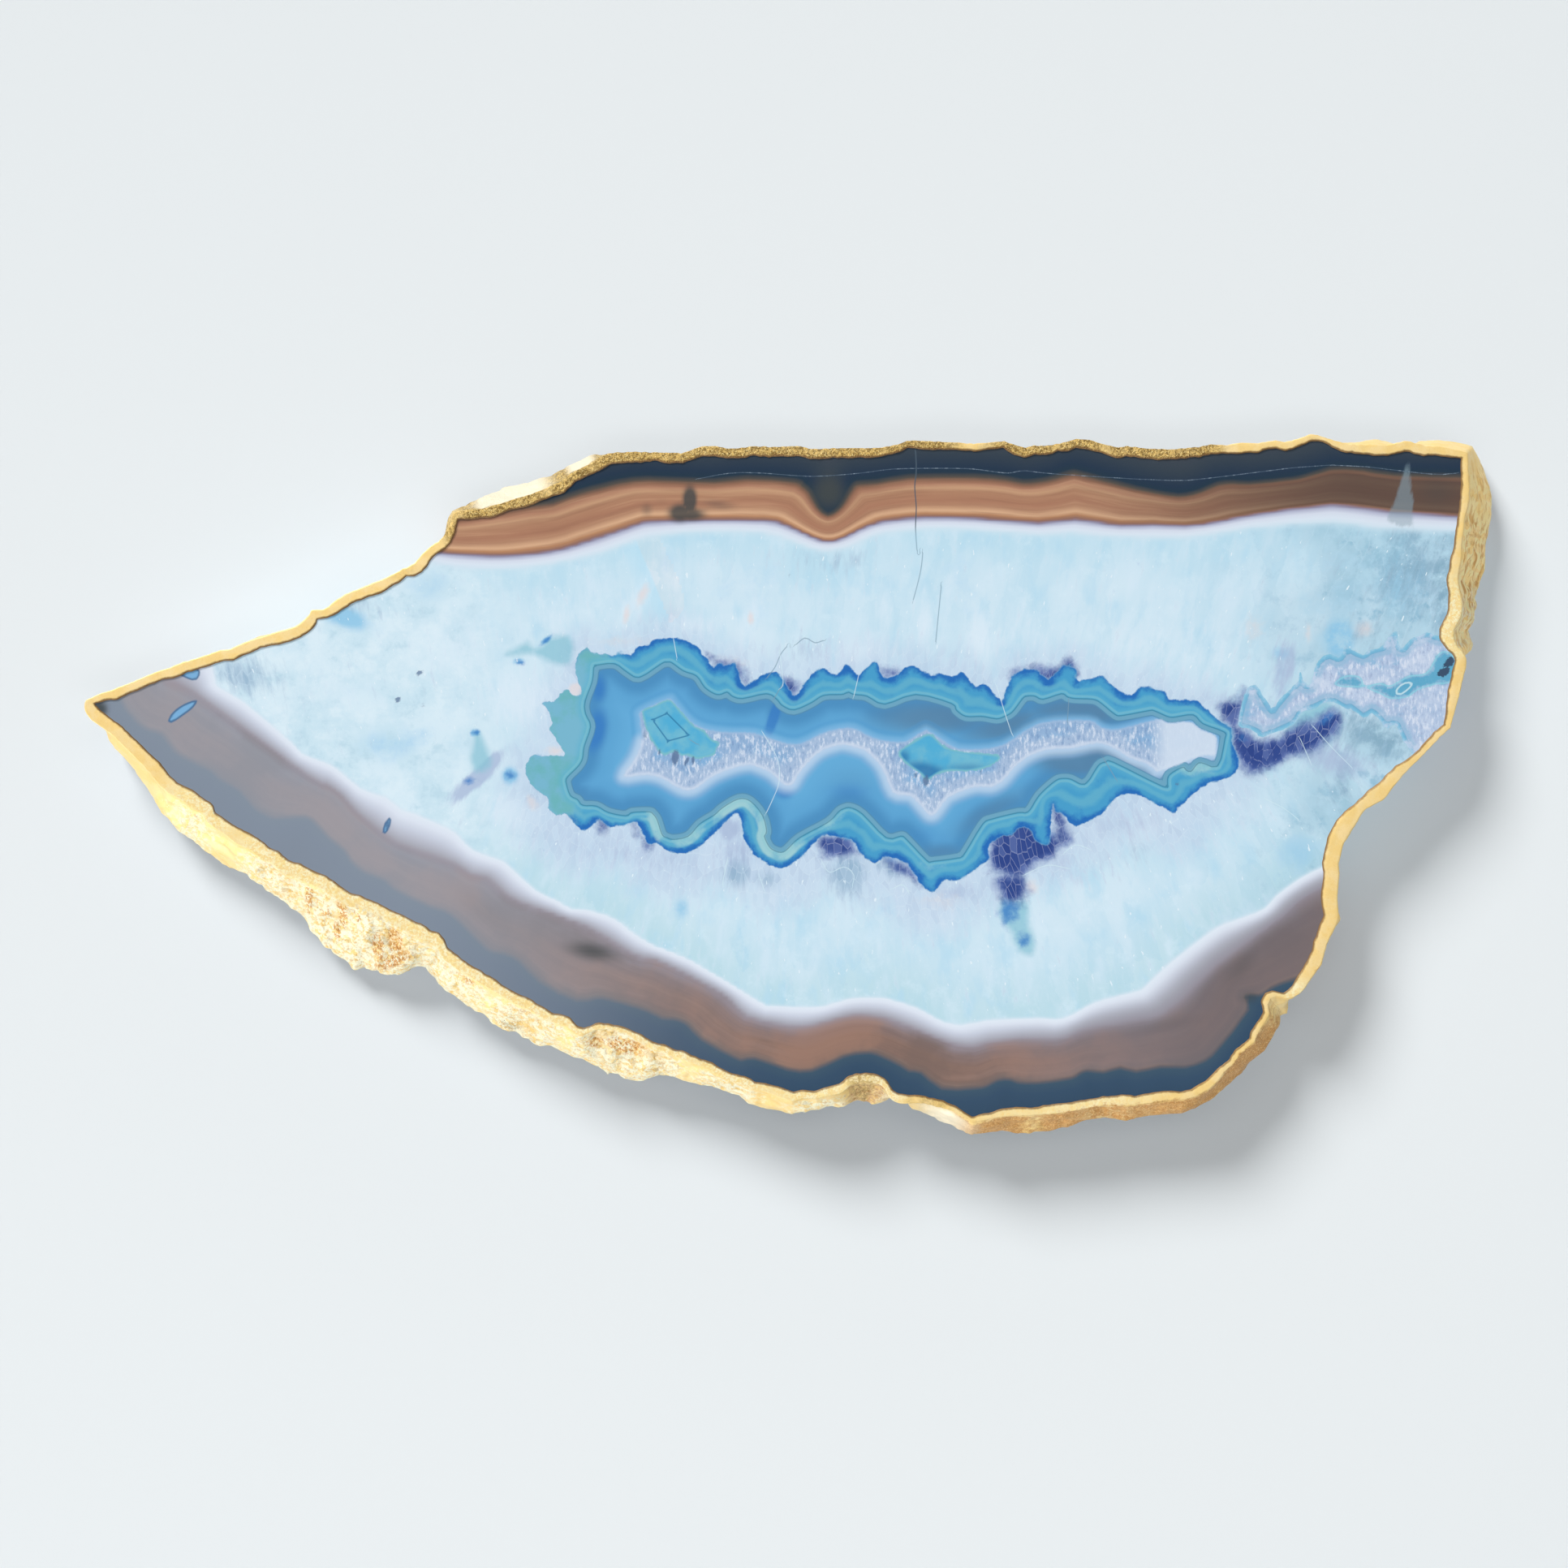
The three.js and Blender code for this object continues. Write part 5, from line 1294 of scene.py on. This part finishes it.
def gold_plating(settings, names):
    """Gold leaf built up over a rough rind by plating, burnished on the lap and left lumpy on the wall:
    warm yellow metal, satin where it is smooth, with dark grit in the pits of the rough band. On
    the lumps every Voronoi cell is a flake, a plane that leans its own way: its height is the dot
    product of the way from the cell's middle and the cell's own direction. The leaf is so finely
    grained that it scatters much of the light like paint, so it isn't fully metallic."""
    material, tree, output = new_material("gold_plated_rind")
    field = {}
    for name in names:
        field[name] = add(tree, "ShaderNodeAttribute", {"attribute_name": name}).outputs["Fac"]
    place = add(tree, "ShaderNodeTexCoord").outputs["Object"]
    noises = (
        ("leaf", (1, 1, 1), 1 / (5 * MM), 4, 0.6), ("grain", (1, 1, 1), 1 / (0.65 * MM), 3, 0.7),
        ("dust", (1, 1, 1), 1 / (0.45 * MM), 2, 0.7), ("crust", (1, 1, 1), 1 / (1.6 * MM), 4, 0.7),
        ("grooves", (0.5, 0.5, 2.4), 1 / (1.8 * MM), 3, 0.6),
        ("pores", (1, 0.6, 0.6), 1 / (0.6 * MM), 4, 0.7),
    )
    for name, stretch, scale, detail, roughness in noises:
        moved = add(tree, "ShaderNodeVectorMath", {"operation": "MULTIPLY"}, {0: place, 1: stretch})
        sockets = {"Vector": moved.outputs[0], "Scale": scale, "Detail": detail,
                   "Roughness": roughness}
        noise = add(tree, "ShaderNodeTexNoise", sockets=sockets)
        field[name] = noise.outputs["Fac"]
        if name == "crust":
            drift = noise.outputs["Color"]
    waved = add(tree, "ShaderNodeVectorMath", {"operation": "MULTIPLY_ADD"},
                {0: drift, 1: (1.2 * MM, 1.2 * MM, 1.2 * MM), 2: place}).outputs[0]
    for name, size in (("flake", 1.7), ("chip", 0.7)):
        cell = add(tree, "ShaderNodeTexVoronoi", sockets={"Vector": waved, "Scale": 1 / (size * MM)})
        away = add(tree, "ShaderNodeVectorMath", {"operation": "SUBTRACT"},
                   {0: waved, 1: cell.outputs["Position"]})
        lean = add(tree, "ShaderNodeVectorMath", {"operation": "SUBTRACT"},
                   {0: cell.outputs["Color"], 1: (0.5, 0.5, 0.5)})
        height = add(tree, "ShaderNodeVectorMath", {"operation": "DOT_PRODUCT"},
                     {0: away.outputs[0], 1: lean.outputs[0]})
        field[name + "_height"] = height.outputs["Value"]
        parts = add(tree, "ShaderNodeSeparateColor", sockets={0: cell.outputs["Color"]})
        field[name] = parts.outputs[0]
    for name, move in (("lump", 0.9), ("amber_shade", 1.0), ("from_line", 0.7)):
        centred = add(tree, "ShaderNodeMath", {"operation": "SUBTRACT"}, {0: field["crust"], 1: 0.5})
        sockets = {0: centred.outputs[0], 1: move, 2: field[name]}
        field[name + "_rim"] = add(tree, "ShaderNodeMath", {"operation": "MULTIPLY_ADD"},
                                   sockets).outputs[0]
    ranges = (
        ("leaf_on", "leaf", 0.4, 0.65, 0.6), ("grit_place", "grit", 0.25, 0.7, 1.0),
        ("dark_grain", "grain", 0.6, 0.42, 0.85), ("dust_on", "dust", 0.52, 0.68, 0.8),
        ("deep_hollow_shade", "hollow", 0.5, 1.2, 0.4), ("pale_on", "painted_highlight", 0.2, 0.8, 1.0),
        ("groove_on", "grooves", 0.52, 0.36, 0.8), ("ridge_place", "ridge", 0.2, 0.9, 1.0),
        ("edge_dark", "from_line_rim", 0.75, 0.25, 0.85), ("lump_place", "lump_rim", 0.25, 0.6, 1.0),
        ("lap_place", "lap", 0.1, 0.5, 1.0),
        ("flake_shade", "flake", 0.3, 0.1, 0.35), ("flake_glint", "flake", 0.35, 0.6, 0.8),
        ("chip_shade", "chip", 0.24, 0.14, 0.4), ("sooty", "leaf", 0.6, 0.4, 0.15),
        ("amber_shade_on", "amber_shade_rim", 0.25, 0.6, 0.9), ("fine_dark", "dust", 0.45, 0.3, 0.3),
        ("pitted", "pores", 0.36, 0.31, 0.7), ("pit_place", "pits", 0.2, 0.7, 1.0),
        ("pore", "pores", 0.54, 0.46, 0.9), ("deep_pore", "pores", 0.42, 0.36, 0.8),
        ("glare_patch", "crust", 0.42, 0.52, 0.9), ("rough_grit", "grit", 0.25, 0.7, 0.7),
        ("lap_inner", "lap_share", 0.16, 0.1, 0.8),
    )
    mask = {}
    for name, source, low, high, most in ranges:
        sockets = {"Value": field[source], "From Min": low, "From Max": high, "To Max": most}
        ranged = add(tree, "ShaderNodeMapRange", {"interpolation_type": "SMOOTHSTEP"}, sockets)
        mask[name] = ranged.outputs[0]
    joined = (
        ("grit_dark", "grit_place", "dark_grain"), ("grit_bright", "grit_place", "dust_on"),
        ("ridge_dark", "ridge_place", "groove_on"), ("lump_facet_shade", "lump_place", "flake_shade"),
        ("lump_glint", "lump_place", "flake_glint"), ("hollow_warm_shade", "deep_hollow_shade", "lump_place"),
        ("lump_chip_shade", "lump_place", "chip_shade"), ("lump_pit", "lump_place", "pitted"),
        ("inner_bright", "lap_inner", "grit_place"), ("amber_shade_bright", "amber_shade_on", "dust_on"),
        ("amber_shade_dark", "amber_shade_on", "dark_grain"), ("ridge_glint", "ridge_place", "flake_glint"),
        ("pit_on", "pit_place", "pore"), ("pit_deep", "pit_place", "deep_pore"),
        ("lump_glare", "lump_place", "glare_patch"), ("lap_glare", "lap_place", "glare_patch"),
        ("lap_dark", "lap_place", "dark_grain"),
    )
    for name, first, second in joined:
        sockets = {0: mask[first], 1: mask[second]}
        both = add(tree, "ShaderNodeMath", {"operation": "MULTIPLY"}, sockets)
        mask[name] = both.outputs[0]
    layers = (
        ("sooty", "#F3BE62"), ("leaf_on", "#FFE4AC"), ("fine_dark", "#EFC474"),
        # The pale patches on the lap here and on the lumps two rows down are painted highlights, where the rough gold
        # glares
        ("lap_place", "#FFEBA8"), ("lap_glare", "#FFF6CE"), ("lap_dark", "#F6D588"),
        # Painted light on the lumps: each flake and chip is painted lighter or darker as if lit or shaded, and the
        # ridges' flakes get painted glints further down
        ("lump_place", "gold"), ("lump_glint", "#FFEAAC"), ("lump_facet_shade", "#FBD07A"),
        ("lump_glare", "#FFFADC"), ("lump_chip_shade", "#F2C064"), ("lump_pit", "#D8983C"),
        # The first colour in this row paints the dents of the lumps a deeper, warmer gold: painted shade, warmed as
        # by light bounced inside them
        ("hollow_warm_shade", "#FFCE6C"), ("pit_on", "#E2A046"), ("pit_deep", "#A06420"),
        # This row paints the darker amber shade of the lower and right walls, with dark grain and bright dust specks
        # in it
        ("amber_shade_on", "amber_shade_gold"), ("amber_shade_dark", "#BE8440"), ("amber_shade_bright", "#FFE6AC"),
        ("rough_grit", "#CFA955"),
        ("grit_dark", "#74561C"), ("grit_bright", "#FFE7A0"), ("inner_bright", "#FFE2A2"),
        # The last colour in this row is a painted highlight: pale gold where the upper left wall faces the key light
        ("ridge_glint", "#FFF0B4"), ("ridge_dark", "#D0923A"), ("pale_on", "#FBEFD2"),
        ("edge_dark", "#6E4620"),
    )
    blend = {"data_type": "RGBA", "blend_type": "MIX"}
    colour = tint(settings, "gold")
    for name, shade in layers:
        sockets = {0: mask[name], 6: colour, 7: tint(settings, shade)}
        colour = add(tree, "ShaderNodeMix", blend, sockets).outputs[2]
    large = add(tree, "ShaderNodeBump", sockets={
        "Strength": mask["lump_place"], "Distance": 0.3, "Height": field["flake_height"]})
    small = add(tree, "ShaderNodeBump", sockets={
        "Strength": mask["lump_place"], "Distance": 0.35, "Height": field["chip_height"],
        "Normal": large.outputs[0]})
    grainy = add(tree, "ShaderNodeBump", sockets={
        "Strength": 0.2, "Distance": 0.2 * MM, "Height": field["grain"],
        "Normal": small.outputs[0]})
    gritty = add(tree, "ShaderNodeBump", sockets={
        "Strength": mask["grit_place"], "Distance": 0.3 * MM, "Height": field["dust"],
        "Normal": grainy.outputs[0]})
    satin = add(tree, "ShaderNodeMapRange", sockets={
        "Value": mask["lump_place"], "To Min": 0.52, "To Max": 0.6})
    most_rough = add(tree, "ShaderNodeMath", {"operation": "MAXIMUM"},
                     {0: mask["lump_place"], 1: mask["lap_place"]})
    metal = add(tree, "ShaderNodeMapRange", sockets={
        "Value": most_rough.outputs[0], "To Min": 0.4, "To Max": 0.15})
    shader = add(tree, "ShaderNodeBsdfPrincipled", sockets={
        "Base Color": colour, "Metallic": metal.outputs[0], "Roughness": satin.outputs[0],
        "Normal": gritty.outputs[0]})
    tree.links.new(shader.outputs[0], output.inputs[0])
    return material


def matte_paper(settings):
    """Seamless paper, rolled and matte: an even pale grey-blue with no gloss."""
    material, tree, output = new_material("matte_studio_paper")
    shader = add(tree, "ShaderNodeBsdfPrincipled", sockets={
        "Base Color": tint(settings, "floor_colour"), "Roughness": 0.95, "Specular IOR Level": 0.1})
    tree.links.new(shader.outputs[0], output.inputs[0])
    return material


def new_object(name, corners, faces, material, fields=None):
    """A mesh object from corners in millimetres and faces, with its fields as attributes."""
    mesh = bpy.data.meshes.new(name)
    mesh.from_pydata((corners * MM).tolist(), [], faces)
    for key, values in (fields or {}).items():
        kind = "FLOAT" if values.ndim == 1 else "FLOAT_VECTOR"
        attribute = mesh.attributes.new(key, kind, "POINT")
        socket = "value" if kind == "FLOAT" else "vector"
        attribute.data.foreach_set(socket, values.astype(np.float32).ravel())
    mesh.materials.append(material)
    mesh.update()
    built = bpy.data.objects.new(name, mesh)
    bpy.context.scene.collection.objects.link(built)
    return built


class StoneSettings(bpy.types.PropertyGroup):
    """Sizes and main colours of the stone."""

    face_height: bpy.props.FloatProperty(
        name="Face height", description="Height of the polished face", default=19.4 * MM,
        unit="LENGTH")
    fine_step: bpy.props.FloatProperty(
        name="Fine step", description="Grid step of the face round the blue core",
        default=0.68 * MM, unit="LENGTH")
    coarse_step: bpy.props.FloatProperty(
        name="Coarse step", description="Grid step of the rest of the face", default=1.1 * MM,
        unit="LENGTH")
    underside_step: bpy.props.FloatProperty(
        name="Underside step", description="Grid step of the underside", default=2.4 * MM,
        unit="LENGTH")
    crystal: bpy.props.FloatVectorProperty(
        name="Crystal", description="Pale quartz between the bands and the core",
        default=linear("#D0E6F2"), subtype="COLOR")
    upper_dark: bpy.props.FloatVectorProperty(
        name="Dark band", description="Dark blue band on the straight side",
        default=linear("#26384D"), subtype="COLOR")
    upper_brown: bpy.props.FloatVectorProperty(
        name="Brown band", description="Brown band on the straight side",
        default=linear("#AD7D64"), subtype="COLOR")
    white_band: bpy.props.FloatVectorProperty(
        name="White band", description="White band on the straight side",
        default=linear("#DCE8F5"), subtype="COLOR")
    lower_dark: bpy.props.FloatVectorProperty(
        name="Outer dark band", description="Dark blue band on the curved side",
        default=linear("#38516A"), subtype="COLOR")
    lower_brown: bpy.props.FloatVectorProperty(
        name="Outer brown band", description="Brown band on the curved side",
        default=linear("#8F7469"), subtype="COLOR")
    core_rim: bpy.props.FloatVectorProperty(
        name="Core rim", description="Deep blue rim of the core",
        default=linear("#2A6FBC"), subtype="COLOR")
    core_teal: bpy.props.FloatVectorProperty(
        name="Core teal", description="Teal band inside the core's rim",
        default=linear("#4AA0CE"), subtype="COLOR")
    core: bpy.props.FloatVectorProperty(
        name="Core", description="Blue of the core",
        default=linear("#5FA6D6"), subtype="COLOR")
    druse: bpy.props.FloatVectorProperty(
        name="Druse", description="Fine crystals in the middle of the core",
        default=linear("#A0BEDF"), subtype="COLOR")
    stain: bpy.props.FloatVectorProperty(
        name="Stain", description="Dye between the crystals",
        default=linear("#4F67AB"), subtype="COLOR")


class GildingSettings(bpy.types.PropertyGroup):
    """Sizes and colours of the gilding."""

    face_height: bpy.props.FloatProperty(
        name="Face height", description="Height of the polished face", default=19.4 * MM,
        unit="LENGTH")
    top_height: bpy.props.FloatProperty(
        name="Top height", description="Highest point of the lap", default=20.0 * MM, unit="LENGTH")
    stations: bpy.props.IntProperty(
        name="Stations", description="Sections round the slice", default=1850)
    wall_rows: bpy.props.IntProperty(
        name="Wall rows", description="Corners down the side wall", default=27)
    gold: bpy.props.FloatVectorProperty(
        name="Gold", description="Colour of the gold",
        default=linear("#FFE094"), subtype="COLOR")
    # Painted shade: this darker amber is painted on the less lit lower and right walls
    amber_shade_gold: bpy.props.FloatVectorProperty(
        name="Amber gold", description="Colour of the gold where it is thin",
        default=linear("#DBA35A"), subtype="COLOR")


class StageSettings(bpy.types.PropertyGroup):
    """Colours of the stage."""

    floor_colour: bpy.props.FloatVectorProperty(
        name="Floor", description="Colour of the floor", default=linear("#E8EDEF"),
        subtype="COLOR")


class AGATE_OT_stone(bpy.types.Operator):
    """Build the polished stone"""

    bl_idname = "agate.stone"
    bl_label = "Polished stone"

    def execute(self, context):
        settings = context.scene.agate_stone
        corners, quads, triangles = stone_shape(settings)
        faces = quads.tolist() + triangles.tolist()
        fields = stone_fields(corners[:, :2])
        fields["upper_growth"] = growth(corners[:, :2], (900, 3000), 2250 * FACE_UNIT)
        fields["lower_growth"] = growth(corners[:, :2], (1000, -200), 1300 * FACE_UNIT)
        material = polished_agate(settings, list(fields))
        stone = new_object("polished_stone", corners, faces, material, fields)
        if len(quads) * 2 + len(triangles) > 200000:
            raise RuntimeError("the stone has too many triangles")
        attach(stone, "root")
        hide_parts("agate_slab")
        return {"FINISHED"}


class AGATE_OT_gilding(bpy.types.Operator):
    """Build the gilded rim"""

    bl_idname = "agate.gilding"
    bl_label = "Gilded rim"

    def execute(self, context):
        settings = context.scene.agate_gilding
        corners, quads, fields = gilding_shape(settings)
        if len(quads) * 2 > 200000:
            raise RuntimeError("the gilding has too many triangles")
        material = gold_plating(settings, list(fields))
        rim = new_object("gold_gilding", corners, quads.tolist(), material, fields)
        rim.data.polygons.foreach_set("use_smooth", np.ones(len(quads), bool))
        # The gold throws no glow on the floor
        rim.visible_diffuse = False
        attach(rim, "root")
        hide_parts("gilded_rim")
        return {"FINISHED"}


class AGATE_OT_stage(bpy.types.Operator):
    """Build the floor, the lights and the camera"""

    bl_idname = "agate.stage"
    bl_label = "Stage"

    def execute(self, context):
        scene = context.scene
        size = 4000.0
        corners = np.array([[-1, -1, 0], [1, -1, 0], [1, 1, 0], [-1, 1, 0]]) * size
        floor = new_object("floor", corners, [[0, 1, 2, 3]], matte_paper(scene.agate_stage))
        camera = bpy.data.objects.new("camera", bpy.data.cameras.new("camera"))
        camera.location = (VIEW_POINT[0] * MM, VIEW_POINT[1] * MM, VIEW_HEIGHT * MM)
        camera.data.lens = 87.6
        camera.data.sensor_width = 36.0
        camera.data.clip_start = 0.05
        scene.collection.objects.link(camera)
        scene.camera = camera
        world = bpy.data.worlds.new("studio")
        world.use_nodes = True
        background = world.node_tree.nodes["Background"]
        background.inputs[0].default_value = (0.98, 0.99, 1.0, 1.0)
        background.inputs[1].default_value = 0.06
        scene.world = world
        key = bpy.data.lights.new("key", "SUN")
        key.energy = 2.95
        key.angle = np.radians(21)
        lamp = bpy.data.objects.new("key", key)
        low = np.radians(33)
        away = np.array([-0.52 * np.cos(low), 0.854 * np.cos(low), np.sin(low)])
        lamp.rotation_euler = (np.arccos(away[2]), 0, np.arctan2(away[0], -away[1]))
        scene.collection.objects.link(lamp)
        # Fills that throw no shadow: two strips beside the camera, just outside what the polished
        # face mirrors to it, and three wide low panels that the gilded wall mirrors:
        # x, y, height, length, width, power
        boxes = ((0.0, 0.42, 1.15, 1.3, 0.34, 2.8), (0.0, -0.42, 1.15, 1.3, 0.34, 2.8),
                 (-1.3, -1.7, 0.35, 3.0, 0.6, 42.0), (2.2, -0.5, 0.35, 3.0, 0.6, 9.0),
                 (0.3, 2.3, 0.35, 3.0, 0.6, 5.0))
        for number, (x, y, height, length, width, power) in enumerate(boxes):
            box = bpy.data.lights.new(f"fill_{number}", "AREA")
            box.shape = "RECTANGLE"
            box.size = length
            box.size_y = width
            box.energy = power
            box.use_shadow = False
            lamp = bpy.data.objects.new(box.name, box)
            lamp.location = (x, y, height)
            lamp.rotation_euler = (np.arctan2(np.hypot(x, y), height), 0, np.arctan2(x, -y))
            scene.collection.objects.link(lamp)
        scene.view_settings.view_transform = "Standard"
        return {"FINISHED"}


class AGATE_PT_panel(bpy.types.Panel):
    """Lists the pieces of the slice"""

    bl_idname = "AGATE_PT_panel"
    bl_label = "Gilded Agate Slice"
    bl_space_type = "VIEW_3D"
    bl_region_type = "UI"
    bl_category = "Agate"

    def draw(self, context):
        for operator in (AGATE_OT_stone, AGATE_OT_gilding, AGATE_OT_stage):
            self.layout.operator(operator.bl_idname)


CLASSES = (StoneSettings, GildingSettings, StageSettings, AGATE_OT_stone, AGATE_OT_gilding,
           AGATE_OT_stage, AGATE_PT_panel)


def register():
    """Registers the classes and puts their settings on the scene."""
    for entry in CLASSES:
        bpy.utils.register_class(entry)
    bpy.types.Scene.agate_stone = bpy.props.PointerProperty(type=StoneSettings)
    bpy.types.Scene.agate_gilding = bpy.props.PointerProperty(type=GildingSettings)
    bpy.types.Scene.agate_stage = bpy.props.PointerProperty(type=StageSettings)


def unregister():
    """Takes the settings and the classes away again."""
    del bpy.types.Scene.agate_stone
    del bpy.types.Scene.agate_gilding
    del bpy.types.Scene.agate_stage
    for entry in reversed(CLASSES):
        bpy.utils.unregister_class(entry)


def main():
    """Builds the slice and its stage."""
    register()
    bpy.ops.agate.stone()
    bpy.ops.agate.gilding()
    bpy.ops.agate.stage()
    bpy.context.view_layer.update()


if __name__ == "__main__":
    main()
